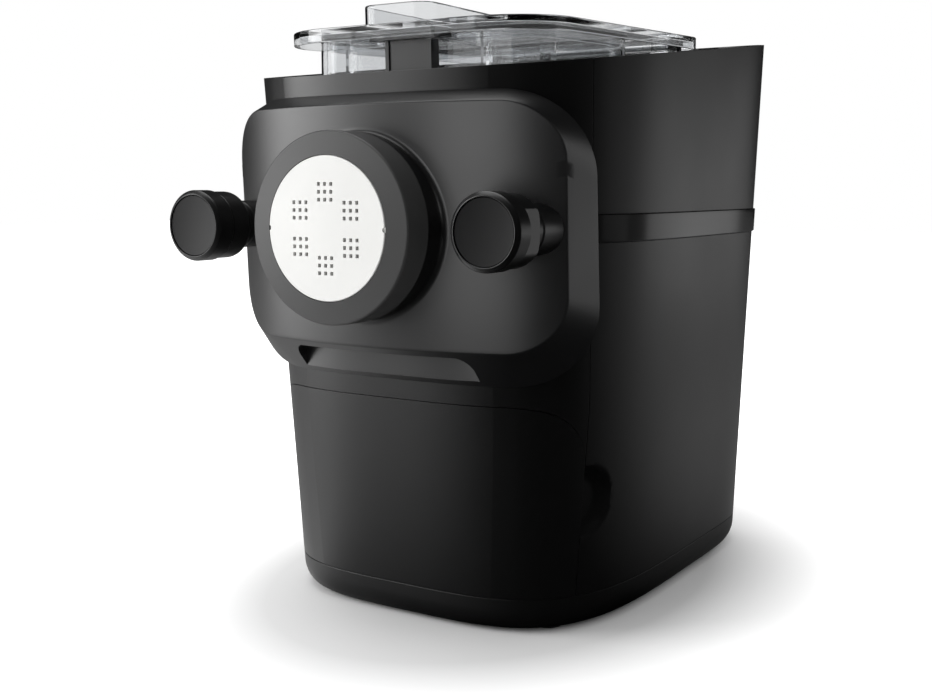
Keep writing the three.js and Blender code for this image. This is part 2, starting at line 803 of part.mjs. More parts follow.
// The space above a plane parallel to the lid.
function aboveLidPlane(rise) {
  const at = (y) => lidHeight + rise + lidTiltShare * y;
  const [y0, y1] = [-cutOverrun, overallDepth + cutOverrun];
  const top = housingTop + cutReach;
  return crossing(polygon([[y0, at(y0)], [y1, at(y1)], [y1, top], [y0, top]]), -cutReach, cutReach);
}

function mixingChamber() {
  const low = axisHeight - troughRadius;
  const arcSteps = middleSteps / 2;
  const outer = common(
    facing(chamberProfile(0), chamberFrontY, chamberRearY, arcSteps),
    chamberPlan(0, low - cutOverrun, housingTop),
  );
  const inner = common(
    facing(chamberProfile(chamberWall), chamberFrontY + chamberWall, chamberRearY - chamberWall, arcSteps),
    chamberPlan(-chamberWall, low - cutOverrun, housingTop + cutOverrun),
  );
  const cellTop = framePlateTop + runningGap + loadCell.side;
  const struts = [loadCell.front, loadCell.rear].map((y) => {
    const half = chamberFootHalfWidth;
    return box(-half, half, y, y + loadCell.side, cellTop + runningGap, axisHeight - troughRadius / 2);
  });
  const ribs = [-1, 1].map((side) => {
    const x = side * chamberRib.x;
    const half = chamberRib.width / 2;
    const y0 = chamberFrontY - chamberRib.depth;
    return box(x - half, x + half, y0, chamberFrontY + chamberWall / 2, flareHeight, housingTop);
  });
  const shaftHole = rod(shaftRadius + 2 * runningGap, chamberRearY - 2 * chamberWall, chamberRearY + cutOverrun);
  const tubeHole = rod(tubeOuter + runningGap, chamberFrontY - cutOverrun, chamberFrontY + 2 * chamberWall, roundSteps);
  const body = cut(
    fuse(outer, struts, ribs),
    inner,
    shaftHole.translate(0, 0, axisHeight),
    tubeHole.translate(0, 0, axisHeight),
    aboveLidPlane(lidEdge - lidPlate - sealThickness - 2 * runningGap),
  );
  const deckRelief = chamberRibRelief();
  return piece("mixing_chamber", cut(body, deckRelief), smoky);
}

// The ribs stop above the deck, which they would otherwise cut.
function chamberRibRelief() {
  const y0 = chamberFrontY - chamberRib.depth - cutOverrun;
  const top = rimAt(chamberFrontY) - deckDrop + runningGap;
  return box(-chamberHalfWidth, chamberHalfWidth, y0, chamberFrontY - runningGap / 2, 0, top);
}

// Inner frame with the sockets for the knob stems
function innerFrame() {
  const { inner, thickness, front, top } = cheek;
  const outerX = inner + thickness;
  const bottom = framePlateTop - framePlateThickness;
  const rearY = frameRear.front + frameRear.thickness;
  const plate = box(-outerX, outerX, front, rearY, bottom, framePlateTop);
  const nose = box(-loadCell.halfLength, loadCell.halfLength, chamberFrontY + cutOverrun, front + 1, bottom, framePlateTop);
  const cheeks = [box(-outerX, -inner, front, rearY, bottom, top), box(inner, outerX, front, rearY, bottom, top)];
  const wall = box(-outerX, outerX, frameRear.front, rearY, bottom, frameRear.top);
  const legBottom = baseScrewBossTop + runningGap;
  const legs = legPlaces().map(([x, y]) =>
    box(x - frameLeg.width / 2, x + frameLeg.width / 2, y - frameLeg.depth / 2, y + frameLeg.depth / 2, legBottom, framePlateTop),
  );
  const sockets = [-1, 1].map((side) =>
    rod(socket.radius, socket.front, socket.rear).translate(side * knobX, 0, axisHeight),
  );
  const stemBores = [-1, 1].map((side) =>
    rod(stemRadius + runningGap, socket.front - cutOverrun, stemRearY + runningGap).translate(side * knobX, 0, axisHeight),
  );
  const screwHoles = legPlaces().map(([x, y]) =>
    upright(rod(baseScrewShankRadius + runningGap, 0, baseScrewLength + cutOverrun, tinySteps)).translate(x, y, 0),
  );
  const sealHole = rod(seal.outer + runningGap, frameRear.front - cutOverrun, rearY + cutOverrun, middleSteps);
  const body = fuse(plate, nose, cheeks, wall, legs, sockets);
  return piece("inner_frame", cut(body, stemBores, screwHoles, sealHole.translate(0, 0, axisHeight)), innerGrey);
}

function loadCells() {
  const bottom = framePlateTop + runningGap;
  const { halfLength, side, hole, holeSpread } = loadCell;
  return [["load_cell_front", loadCell.front], ["load_cell_rear", loadCell.rear]].map(([name, y]) => {
    const bar = box(-halfLength, halfLength, y, y + side, bottom, bottom + side);
    const bores = [-1, 1].map((place) =>
      rod(hole, y - cutOverrun, y + side + cutOverrun, tinySteps).translate(place * holeSpread, 0, bottom + side / 2),
    );
    return piece(name, cut(bar, bores), steel);
  });
}

// Front cover
function coverOutline({ halfWidth, top, bottom, radius }) {
  const across = [];
  const drops = [];
  for (let i = 0; i < coverCornerSteps; i++) {
    const angle = (Math.PI / 2) * (i / coverCornerSteps);
    across.push(-halfWidth + radius * (1 - Math.cos(angle)));
    drops.push(radius * (1 - Math.sin(angle)));
  }
  const half = halfWidth - radius;
  for (let i = 0; i <= coverStraightSteps; i++) {
    across.push(-half + (2 * half * i) / coverStraightSteps);
    drops.push(0);
  }
  for (let i = coverCornerSteps - 1; i >= 0; i--) {
    across.push(-across[i]);
    drops.push(drops[i]);
  }
  return across.map((x, i) => ({ x, top: top - drops[i], bottom: bottom + drops[i] }));
}

// The face is nearly flat in the middle and sweeps back towards its sides.
function coverFaceY(x, rise) {
  const sweep = (x / coverSweepReach) ** 4;
  return coverCrownY + (x * x) / (2 * coverBow) + sweep - coverLeanShare * rise;
}

function coverRearY(x, rise) {
  const height = axisHeight + rise;
  const housing = housingFrontAt(x, height) - coverSeat;
  const bow = planAt(height, 0).front - coverSeat + (x * x) / (2 * coverRearBow);
  return Math.min(housing, bow);
}

// A bowed plate between a front and a back outline, each made of upright strips.
function bowedPlate(front, back, frontY, backY) {
  const rows = [
    ...front.map(({ x, top }) => [x, frontY(x, top), top]),
    ...front.map(({ x, bottom }) => [x, frontY(x, bottom), bottom]),
    ...back.map(({ x, top }) => [x, backY(x, top), top]),
    ...back.map(({ x, bottom }) => [x, backY(x, bottom), bottom]),
  ];
  const n = front.length;
  const faces = [];
  const quad = (a, b, c, d) => faces.push(a, b, c, a, c, d);
  for (let i = 0; i + 1 < n; i++) {
    quad(i, n + i, n + i + 1, i + 1);
    quad(2 * n + i, 2 * n + i + 1, 3 * n + i + 1, 3 * n + i);
    quad(i, i + 1, 2 * n + i + 1, 2 * n + i);
    quad(n + i, 3 * n + i, 3 * n + i + 1, n + i + 1);
  }
  quad(0, 2 * n, 3 * n, n);
  quad(n - 1, 2 * n - 1, 4 * n - 1, 3 * n - 1);
  const points = rows.map(([x, y, rise]) => new THREE.Vector3(x, y, axisHeight + rise));
  return new THREE.BufferGeometry().setFromPoints(points).setIndex(faces);
}

function frontCover() {
  const plate = bowedPlate(coverOutline(coverFace), coverOutline(coverRim), coverFaceY, coverRearY);
  const innerY = (x, rise) => coverFaceY(x, rise) + coverWall;
  const openY = (x, rise) => coverRearY(x, rise) + cutOverrun;
  const hollowOutline = coverOutline(coverHollow);
  const hollow = bowedPlate(hollowOutline, hollowOutline, innerY, openY);
  const collar = rod(collarOuter, ringRearY + runningGap, tubeFlange.front - runningGap, roundSteps);
  const insideY = (x, rise) => coverFaceY(x, rise) + coverWall / 2;
  const bosses = [-1, 1].map((side) =>
    rod(bossRadius, knobNeckBackY + runningGap, bossBackY, middleSteps).translate(side * knobX, 0, axisHeight),
  );
  const stemBores = [-1, 1].map((side) =>
    rod(stemRadius + runningGap, 0, chamberFrontY).translate(side * knobX, 0, axisHeight),
  );
  const bore = rod(tubeOuter + runningGap, 0, chamberFrontY, roundSteps).translate(0, 0, axisHeight);
  const flangeRoom = rod(tubeFlange.radius + runningGap, tubeFlange.front - runningGap, chamberFrontY, roundSteps);
  const slotFrontY = () => gripSlot.frontY;
  const slotBackY = (x, rise) => coverRearY(x, rise) - gripSlot.wall;
  const slot = bowedPlate(coverOutline(gripSlot), coverOutline(gripSlot), slotFrontY, slotBackY);
  const slotFloor = box(-cutReach, cutReach, 0, chamberFrontY, 0, axisHeight + coverRim.bottom + coverWall);
  const body = fuse(cut(plate, hollow), collar.translate(0, 0, axisHeight), bosses);
  const grip = cut(slot, slotFloor);
  const parts = cut(body, bore, stemBores, flangeRoom.translate(0, 0, axisHeight), grip);
  return piece("front_cover", parts, satinBlack);
}

// Extrusion tube, clamp ring and discs, all on the extrusion axis
function sector(outer, inner, y0, y1, angle, centre) {
  const half = THREE.MathUtils.degToRad(angle / 2);
  const shape = new THREE.Shape();
  shape.absarc(0, 0, outer, centre - half, centre + half);
  shape.absarc(0, 0, inner, centre + half, centre - half, true);
  shape.closePath();
  return facing(shape, y0, y1);
}

function extrusionTube() {
  const { radius, front, thickness } = tubeFlange;
  const profile = [
    [tubeBore, tubeFrontY],
    [tubeOuter, tubeFrontY],
    [tubeOuter, front],
    [radius, front],
    [radius, front + thickness],
    [tubeOuter, front + thickness],
    [tubeOuter, tubeRearY],
    [tubeBore, tubeRearY],
    [tubeBore, tubeFrontY],
  ];
  const lugs = [0, Math.PI].map((centre) =>
    sector(tubeLug.outer, tubeOuter - 1, tubeLug.front, tubeLug.front + tubeLug.thickness, tubeLug.angle, centre),
  );
  return piece("extrusion_tube", fuse(turned(profile, roundSteps), lugs), softBlack);
}

function clampRing() {
  const [lipBore, wide] = [tubeOuter + 2 * runningGap, tubeLug.outer + 2 * runningGap];
  const profile = [
    [ringLip, ringFaceY],
    [ringOuter - ringChamfer, ringEdgeY - halfGap],
    [ringOuter, ringEdgeY + ringChamfer],
    [ringOuter, ringRearY],
    [wide, ringRearY],
    [wide, ringLipBack + discBackY - discStep],
    [lipBore, ringLipBack + discBackY - discStep],
    [lipBore, ringLipBack],
    [ringLip, ringLipBack],
    [ringLip, ringFaceY],
  ];
  const lugs = [0, Math.PI].map((centre) =>
    sector(wide + 1, lipBore, ringLugFront, ringRearY - halfGap, tubeLug.angle, centre),
  );
  return piece("clamp_ring", fuse(turned(profile, roundSteps), lugs), ringGrey);
}

function discBlank() {
  const profile = [
    [0, 0],
    [discFaceRadius, 0],
    [discFaceRadius, discStep],
    [discFlangeRadius, discStep],
    [discFlangeRadius, discBackY],
    [0, discBackY],
  ];
  return turned(profile, roundSteps);
}

function shapingDisc() {
  const { side, pitch, groupRadius, perRow, groups } = dieHole;
  const holes = [];
  for (let group = 0; group < groups; group++) {
    const angle = (2 * Math.PI * group) / groups;
    const [cx, cz] = [groupRadius * Math.sin(angle), groupRadius * Math.cos(angle)];
    for (let k = 0; k < perRow * perRow; k++) {
      const x = cx + ((k % perRow) - (perRow - 1) / 2) * pitch;
      const z = cz + (Math.floor(k / perRow) - (perRow - 1) / 2) * pitch;
      const half = side / 2;
      holes.push(box(x - half, x + half, -cutOverrun, discBackY + cutOverrun, z - half, z + half));
    }
  }
  const notches = [-1, 1].map((end) =>
    rod(discNotchRadius, -cutOverrun, discStep / 2, smallSteps / 2).translate(end * discFaceRadius, 0, 0),
  );
  return piece("shaping_disc", cut(discBlank(), holes, notches), white);
}

function spareDisc() {
  const { width, height, ring, count } = slotDie;
  const slots = Array.from({ length: count }, (_, i) => {
    const slot = box(-width / 2, width / 2, -cutOverrun, discBackY + cutOverrun, ring - height / 2, ring + height / 2);
    return slot.rotateY((2 * Math.PI * i) / count);
  });
  const disc = piece("spare_disc", cut(discBlank(), slots), white);
  disc.rotation.x = Math.PI / 2;
  const x = discFlangeRadius + trayWall + 1 - trayHalfWidth;
  disc.position.set(x, (trayFrontY + trayRearY) / 2, trayBottomHeight + trayWall + runningGap);
  return disc;
}

// Knobs
function knob(side) {
  const sideName = side < 0 ? "left" : "right";
  const group = new THREE.Group();
  group.position.set(side * knobX, 0, axisHeight);
  group.add(
    piece("knob_" + sideName, knobBody(side), satinBlack),
    piece("knob_cap_" + sideName, knobCap(), softBlack),
    piece("knob_stem_" + sideName, rod(stemRadius, stemFrontY, stemRearY), steel),
  );
  return group;
}

function knobBody(side) {
  const profile = [
    [0, knobRecess],
    [knobFaceRadius, knobRecess],
    [knobFaceRadius, knobFaceY],
    [knobHeadRadius, knobRimY],
    [knobHeadRadius, knobHeadBackY],
    [knobCollarRadius - knobGroove, knobHeadBackY],
    [knobCollarRadius - knobGroove, knobHeadBackY + knobGroove],
    [knobCollarRadius, knobHeadBackY + knobGroove],
    [knobCollarRadius, knobCollarBackY - knobRounding],
    [knobCollarRadius - knobRounding, knobCollarBackY],
    [knobNeckRadius, knobCollarBackY],
    [knobNeckRadius, knobNeckBackY],
    [0, knobNeckBackY],
  ];
  const [x0, x1] = side < 0 ? [-cutReach, -knobFlat] : [knobFlat, cutReach];
  const flat = box(x0, x1, knobHeadBackY, cutReach, -cutReach, cutReach);
  const bore = rod(stemRadius + runningGap, stemFrontY - runningGap, knobNeckBackY + cutOverrun);
  return cut(turned(profile, knobSteps), flat, bore);
}

function knobCap() {
  const edge = knobFaceRadius - runningGap;
  const back = knobRecess - runningGap;
  const front = back - capThickness;
  return turned([[0, front + capDish], [edge / 2, front + capDish * 0.75], [edge, front], [edge, back], [0, back]]);
}

// Lid, built flat and then tilted
function lidOutline(inset) {
  const [x, front, rear] = [lidHalfWidth - inset, lidFrontY + inset, lidRearY - inset];
  return roundedShape(-x, x, front, rear, lidFrontRadius - inset, lidRearRadius - inset);
}

function lipOutline(inset) {
  const grow = -chamberWall - lipGap - inset;
  const [x, r] = [chamberHalfWidth + grow, chamberCornerRadius + grow];
  return roundedShape(-x, x, chamberFrontY - grow, chamberRearY + grow, r);
}

function pourOutline(inset) {
  const x = pourWall.halfWidth - inset;
  return roundedShape(-x, x, pourWall.front + inset, pourWall.rear - inset, pourWall.radius - inset);
}

// What the level top of the pour wall leaves free, in the lid's own frame.
function abovePourWall() {
  const at = (y) => lidEdge + pourWall.height - lidTiltShare * (y - pourWall.front);
  const [y0, y1] = [pourWall.front - cutOverrun, pourWall.rear + cutOverrun];
  const top = lidEdge + pourWall.height + cutOverrun;
  return crossing(polygon([[y0, at(y0)], [y1, at(y1)], [y1, top], [y0, top]]), -cutReach, cutReach);
}

function lidBody() {
  const steps = cornerSteps + 1;
  const underside = lidEdge - lidPlate;
  const shell = cut(standing(lidOutline(0), 0, lidEdge, steps), standing(lidOutline(lidRimWall), -cutOverrun, underside, steps));
  const lip = cut(
    standing(lipOutline(0), -lipDepth + underside, underside + lidPlate / 2),
    standing(lipOutline(lipWall), -lipDepth - cutOverrun, underside),
  );
  const wallTop = lidEdge + pourWall.height;
  const pour = cut(
    standing(pourOutline(0), underside + lidPlate / 2, wallTop, steps),
    standing(pourOutline(pourWall.wall), lidEdge, wallTop + cutOverrun, steps),
    abovePourWall(),
  );
  const slots = Array.from({ length: pourSlot.count }, (_, i) => {
    const y = pourSlot.front + i * pourSlot.pitch;
    return box(-pourSlot.width / 2, pourSlot.width / 2, y, y + pourSlot.length, -cutOverrun, lidEdge + cutOverrun);
  });
  return cut(fuse(shell, lip, pour, latchRails(), lidEars()), slots, earBores());
}

function latchRails() {
  const underside = lidEdge - lidPlate / 2;
  const bottom = latchPlate.rise - runningGap - latchRail.ledge;
  const [front, back] = [lidFrontY + lidRimWall / 2, latchPlate.back];
  return [-1, 1].flatMap((side) => {
    const span = (a, b) => (side < 0 ? [-b, -a] : [a, b]);
    const ledgeTop = bottom + latchRail.ledge;
    return [
      box(...span(latchRail.inner, latchRail.outer), front, back, bottom, underside),
      box(...span(latchRail.ledgeInner, latchRail.outer), front, back, bottom, ledgeTop),
    ];
  });
}

function lidEars() {
  return [-1, 1].flatMap((side) => {
    const [x0, x1] = earSpan(side);
    const y0 = lidRearY - lidRimWall / 2;
    const arm = box(x0, x1, y0, hinge.y, hinge.rise - hinge.ear + runningGap, lidEdge);
    const eye = sideways(rod(hinge.ear - runningGap, x0, x1)).translate(0, hinge.y, hinge.rise);
    return [arm, eye];
  });
}

function earSpan(side) {
  const [inner, outer] = [hinge.earX, hinge.earX + hinge.earWidth];
  return side < 0 ? [-outer, -inner] : [inner, outer];
}

function earBores() {
  return [-1, 1].map((side) => {
    const [x0, x1] = earSpan(side);
    const bore = sideways(rod(hinge.bore, x0 - cutOverrun, x1 + cutOverrun, tinySteps));
    return bore.translate(0, hinge.y, hinge.rise);
  });
}

function lidSeal() {
  const top = lidEdge - lidPlate - runningGap;
  const ringOf = (outline, z0, z1) => standing(outline, z0, z1);
  const outer = ringOf(lipOutline(-chamberWall - lipGap), top - sealThickness, top);
  const inner = ringOf(lipOutline(-runningGap), top - sealThickness - cutOverrun, top + cutOverrun);
  return cut(outer, inner);
}

function lidLatch() {
  const { halfWidth, front, back, thickness, rise } = latchPlate;
  const plate = standing(
    roundedShape(-halfWidth, halfWidth, front, back, thickness),
    rise,
    rise + thickness,
  );
  const { halfWidth: bodyHalf, front: y0, back: y1, drop } = latchBody;
  return fuse(plate, box(-bodyHalf, bodyHalf, y0, y1, rise - drop, rise + thickness / 2));
}

function lidGroup() {
  const group = new THREE.Group();
  group.position.set(0, 0, lidHeight);
  group.rotation.x = Math.atan(lidTiltShare);
  group.add(
    piece("lid", lidBody(), smoky),
    piece("lid_seal", lidSeal(), rubber),
    piece("lid_latch", lidLatch(), satinBlack),
  );
  return group;
}

// Drawer
function drawerFront() {
  const bottom = baseSeamHeight - cutOverrun;
  const skin = cut(
    housingSolid(bottom, drawerTopHeight + cutOverrun),
    housingSolid(bottom - cutOverrun, drawerTopHeight + 2 * cutOverrun, housingWall),
  );
  const within = housingSolid(bottom, drawerTopHeight + cutOverrun, housingWall / 2);
  const bosses = [-1, 1].map((side) => {
    const x = side * drawerBoss.x;
    const half = drawerBoss.width / 2;
    const post = box(x - half, x + half, 0, trayFrontY - runningGap, drawerBoss.bottom, drawerBoss.bottom + drawerBoss.height);
    return common(post, within);
  });
  return piece("drawer_front", common(fuse(skin, bosses), drawerSpace(-halfGap)), satinBlack);
}

function drawerTray() {
  const [x, y0, y1] = [trayHalfWidth, trayFrontY, trayRearY];
  const shell = cut(
    box(-x, x, y0, y1, trayBottomHeight, trayTopHeight),
    box(-x + trayWall, x - trayWall, y0 + trayWall, y1 - trayWall, trayBottomHeight + trayWall, trayTopHeight + cutOverrun),
  );
  const ribBottom = runner.height + runningGap;
  const ribs = [-1, 1].map((side) => {
    const span = side < 0 ? [-x - trayRib.width, -x + trayWall / 2] : [x - trayWall / 2, x + trayRib.width];
    return box(...span, y0 + trayRib.front, y1, ribBottom, ribBottom + trayRib.thickness);
  });
  return piece("drawer_tray", fuse(shell, ribs), innerGrey);
}

function drawerRunners() {
  const floor = baseBottomHeight + baseFloorThickness + runningGap;
  return [["drawer_runner_left", -1], ["drawer_runner_right", 1]].map(([name, side]) => {
    const span = (a, b) => (side < 0 ? [-b, -a] : [a, b]);
    const outer = runner.webX + runner.webThickness;
    const web = box(...span(runner.webX, outer), runner.front, runner.rear, floor, runner.height);
    const flange = box(...span(runner.flangeX, outer), runner.front, runner.rear, runner.height - runner.flange, runner.height);
    return piece(name, fuse(web, flange), steel);
  });
}

// Gear train
function gearSizes(teeth, module) {
  const pitch = (teeth * module) / 2;
  return { pitch, tip: pitch + toothTipShare * module, root: pitch - toothRootShare * module };
}

// phase is the angle of the first tooth, with 0 along +X and a quarter turn along +Z.
function gear(teeth, module, y0, y1, phase, bore) {
  const { tip, root } = gearSizes(teeth, module);
  const step = (2 * Math.PI) / teeth;
  const shape = new THREE.Shape();
  for (let tooth = 0; tooth < teeth; tooth++) {
    const centre = phase + tooth * step;
    const corners = [
      [root, -rootWidthShare / 2],
      [tip, -tipWidthShare / 2],
      [tip, tipWidthShare / 2],
      [root, rootWidthShare / 2],
    ];
    corners.forEach(([radius, share]) => {
      const angle = centre + share * step;
      const point = [radius * Math.cos(angle), radius * Math.sin(angle)];
      if (shape.curves.length || shape.currentPoint.length()) shape.lineTo(...point);
      else shape.moveTo(...point);
    });
  }
  shape.closePath();
  const blank = facing(shape, y0, y1);
  return bore ? cut(blank, rod(bore, y0 - cutOverrun, y1 + cutOverrun)) : closed(blank);
}

const slowCentres = gearSizes(outputTeeth, slowModule).pitch + gearSizes(smallTeeth, slowModule).pitch;
const fastCentres = gearSizes(bigTeeth, fastModule).pitch + gearSizes(pinionTeeth, fastModule).pitch;
const down = -Math.PI / 2;
const axleHeight = axisHeight - slowCentres;
const motorHeight = axleHeight - fastCentres;

function outputGearPiece() {
  const { front, width } = outputGear;
  const phase = down + Math.PI / outputTeeth;
  const wheel = gear(outputTeeth, slowModule, front, front + width, phase, shaftRadius + runningGap);
  return piece("output_gear", wheel, gearNylon);
}

function intermediateGear() {
  const bore = axleRadius + runningGap;
  const smallRear = bigGear.front + smallGearRearGap;
  const small = gear(smallTeeth, slowModule, outputGear.front, smallRear, -down, bore);
  const big = gear(bigTeeth, fastModule, bigGear.front - halfGap, bigGear.front + bigGear.width, down + Math.PI / bigTeeth, bore);
  const wheel = piece("intermediate_gear", fuse(small, big), gearNylon);
  wheel.position.z = axleHeight;
  return wheel;
}

function gearboxSolid(inset, y0, y1) {
  const slow = gearSizes(outputTeeth, slowModule).tip + gearboxTipGap + gearboxWall - inset;
  const fast = gearSizes(bigTeeth, fastModule).tip + gearboxTipGap + gearboxWall - inset;
  const small = gearSizes(pinionTeeth, fastModule).tip + gearboxTipGap + gearboxWall - inset;
  const rounds = [[slow, axisHeight], [fast, axleHeight], [small, motorHeight]];
  const points = rounds.flatMap(([radius, height]) =>
    Array.from({ length: middleSteps }, (_, i) => {
      const angle = (2 * Math.PI * i) / middleSteps;
      return [radius * Math.cos(angle), height + radius * Math.sin(angle)];
    }),
  );
  return new ConvexGeometry(points.flatMap(([x, z]) => [new THREE.Vector3(x, y0, z), new THREE.Vector3(x, y1, z)]));
}

function gearboxHousing() {
  const innerFront = gearboxFrontY + gearboxWall;
  const cup = cut(
    gearboxSolid(0, gearboxFrontY, gearboxRearY),
    gearboxSolid(gearboxWall, innerFront, gearboxRearY + cutOverrun),
  );
  const bearingBack = gearboxFrontY + runningGap + bearing.width;
  const bearingBoss = rod(bearing.outer + gearboxWall, gearboxFrontY, bearingBack + runningGap, middleSteps);
  const bearingHole = rod(bearing.outer + runningGap, gearboxFrontY - cutOverrun, bearingBack + cutOverrun, middleSteps);
  const axleBoss = rod(axleRadius + gearboxWall, gearboxFrontY, bearingBack + runningGap);
  const axleHole = rod(axleRadius + runningGap, innerFront, bearingBack + cutOverrun);
  const body = fuse(cup, bearingBoss.translate(0, 0, axisHeight), axleBoss.translate(0, 0, axleHeight));
  const bored = cut(body, bearingHole.translate(0, 0, axisHeight), axleHole.translate(0, 0, axleHeight));
  return piece("gearbox_housing", bored, innerGrey);
}

function gearboxCover() {
  const front = gearboxRearY + runningGap;
  const rear = front + coverPlate;
  const plate = gearboxSolid(0, front, rear);
  const shaftEnd = shaftRearY - shaftRadius;
  const shaftBoss = rod(shaftRadius + gearboxWall, shaftEnd, front + 1).translate(0, 0, axisHeight);
  const shaftHole = rod(shaftRadius + runningGap, shaftEnd - cutOverrun, shaftRearY + runningGap);
  const axleSeat = bigGear.front + bigGear.width + 2 * runningGap;
  const axleBoss = rod(axleRadius + gearboxWall, axleSeat, front + 1).translate(0, 0, axleHeight);
  const axleHole = rod(axleRadius + runningGap, axleSeat - cutOverrun, gearboxRearY);
  const rotorHole = rod(rotor.hole, axleSeat, rear + cutOverrun).translate(0, 0, motorHeight);
  const standoffs = boardCorners().map(([x, z]) =>
    rod(powerBoard.standoffRadius, rear - 1, rear + powerBoard.standoff, tinySteps).translate(x, 0, z),
  );
  const body = fuse(plate, shaftBoss, axleBoss, standoffs);
  const holes = [shaftHole.translate(0, 0, axisHeight), axleHole.translate(0, 0, axleHeight), rotorHole];
  return piece("gearbox_cover", cut(body, holes), innerGrey);
}

function intermediateAxle() {
  const front = gearboxFrontY + gearboxWall + runningGap;
  const axle = piece("intermediate_axle", rod(axleRadius, front, gearboxRearY - runningGap), steel);
  axle.position.z = axleHeight;
  return axle;
}

function boardCorners() {
  const inset = 2 * powerBoard.standoffRadius;
  const x = powerBoard.halfWidth - 2 * inset;
  const [low, high] = [powerBoard.bottom + inset, powerBoard.top - inset];
  return [[-x, low], [x, low], [-x, high], [x, high]];
}

function powerBoardPiece() {
  const front = gearboxRearY + coverPlate + powerBoard.standoff + 2 * runningGap;
  const back = front + powerBoard.thickness;
  const { halfWidth, bottom, top } = powerBoard;
  const board = box(-halfWidth, halfWidth, front, back, bottom, top);
  const parts = boardParts.map(({ xShare, zShare, width, height, depth }) => {
    const x = xShare * halfWidth;
    const z = bottom + zShare * (top - bottom);
    return box(x - width / 2, x + width / 2, back - halfGap, back + depth, z - height / 2, z + height / 2);
  });
  return piece("power_board", fuse(board, parts), boardGreen);
}

function motorCan() {
  const { front, rear, radius, wall, bossRadius } = motor;
  const profile = [
    [rotor.hole, front],
    [radius, front],
    [radius, rear - wall],
    [radius - wall, rear],
    [rotor.hole, rear],
    [rotor.hole, rear - wall],
    [radius - 2 * wall, rear - wall],
    [radius - wall, rear - 2 * wall],
    [radius - wall, front + wall],
    [rotor.hole, front + wall],
    [rotor.hole, front],
  ];
  const boss = tube(bossRadius, rotor.hole, rear - wall / 2, rear + wall);
  const can = piece("motor_can", fuse(turned(profile), boss), steel);
  can.position.z = motorHeight;
  return can;
}

function motorRotor() {
  const pinion = gear(pinionTeeth, fastModule, bigGear.front - halfGap, bigGear.front + bigGear.width + halfGap, -down, 0);
  const shaft = rod(rotor.shaft, bigGear.front, rotor.shaftEnd);
  const core = rod(rotor.core, rotor.front, rotor.rear, middleSteps);
  const turnedRotor = piece("motor_rotor", fuse(pinion, shaft, core), steel);
  turnedRotor.position.z = motorHeight;
  return turnedRotor;
}

function coolingFan() {
  const hub = rod(fan.hub, fan.front, fan.rear);
  const blades = Array.from({ length: fan.count }, (_, i) => {
    const height = (fan.rear - fan.front) / Math.cos(THREE.MathUtils.degToRad(fan.twist)) / 2;
    const middle = (fan.front + fan.rear) / 2;
    const half = (height * 2 - fan.bladeThickness) / 2 * Math.cos(THREE.MathUtils.degToRad(fan.twist));
    const blade = box(fan.hub / 2, fan.reach, -half, half, -fan.bladeThickness / 2, fan.bladeThickness / 2);
    blade.rotateX(THREE.MathUtils.degToRad(fan.twist)).rotateY((2 * Math.PI * i) / fan.count);
    return blade.translate(0, middle, 0);
  });
  const bore = rod(rotor.shaft + runningGap, fan.front - cutOverrun, rotor.shaftEnd + cutOverrun);
  const wheel = piece("cooling_fan", cut(fuse(hub, blades), bore), gearNylon);
  wheel.position.z = motorHeight;
  return wheel;
}

// Shaft, screw and paddle, on the extrusion axis
function flight() {
  const { front, rear, core, flight: tip, pitch, turns, rootWidth, tipWidth } = screw;
  const steps = Math.round(turns * screwStepsPerTurn);
  const start = (front + rear - pitch * turns) / 2 + rootWidth / 2;
  const end = start + pitch * turns - rootWidth;
  const inner = core * 0.8;
  const rings = Array.from({ length: steps + 1 }, (_, i) => {
    const angle = (2 * Math.PI * turns * i) / steps;
    const y = start + ((end - start) * i) / steps;
    const corner = (radius, shift) =>
      new THREE.Vector3(radius * Math.cos(angle), y + shift, radius * Math.sin(angle));
    return [
      corner(inner, -rootWidth / 2),
      corner(tip, -tipWidth / 2),
      corner(tip, tipWidth / 2),
      corner(inner, rootWidth / 2),
    ];
  });
  return loft(rings);
}

function extrusionScrew() {
  const { front, rear, core, bore } = screw;
  const body = turned([[0, front], [core / 2, front], [core, front + core], [core, rear], [0, rear]]);
  const socketHole = rod(shaftRadius + runningGap, rear - bore - shaftRadius / 2, rear + cutOverrun);
  return piece("extrusion_screw", cut(fuse(body, flight()), socketHole), softBlack);
}

function stirringPaddle() {
  const { front, rear, hub, reach, arm, armThickness, blade, bladeWidth } = paddle;
  const spread = (rear - front - blade) / (paddleCount - 1);
  const arms = Array.from({ length: paddleCount }, (_, i) => {
    const y = front + blade / 2 + i * spread;
    const stem = box(-armThickness / 2, armThickness / 2, y - arm / 2, y + arm / 2, hub / 2, reach);
    const half = paddleBladeThickness / 2;
    const foot = box(-half, half, y - blade / 2, y + blade / 2, reach - bladeWidth, reach + half);
    return fuse(stem, foot);
  });
  const turnedArms = Array.from({ length: paddleCount }, (_, i) => {
    const { vertProperties, triVerts } = arms[i].getMesh();
    const geometry = new THREE.BufferGeometry();
    geometry.setAttribute("position", new THREE.BufferAttribute(vertProperties, 3));
    geometry.setIndex(new THREE.BufferAttribute(triVerts, 1));
    return geometry.rotateY((2 * Math.PI * i) / paddleCount);
  });
  const bore = rod(shaftRadius + runningGap, front - cutOverrun, rear + cutOverrun);
  return piece("stirring_paddle", cut(fuse(rod(hub, front, rear), turnedArms), bore), innerGrey);
}

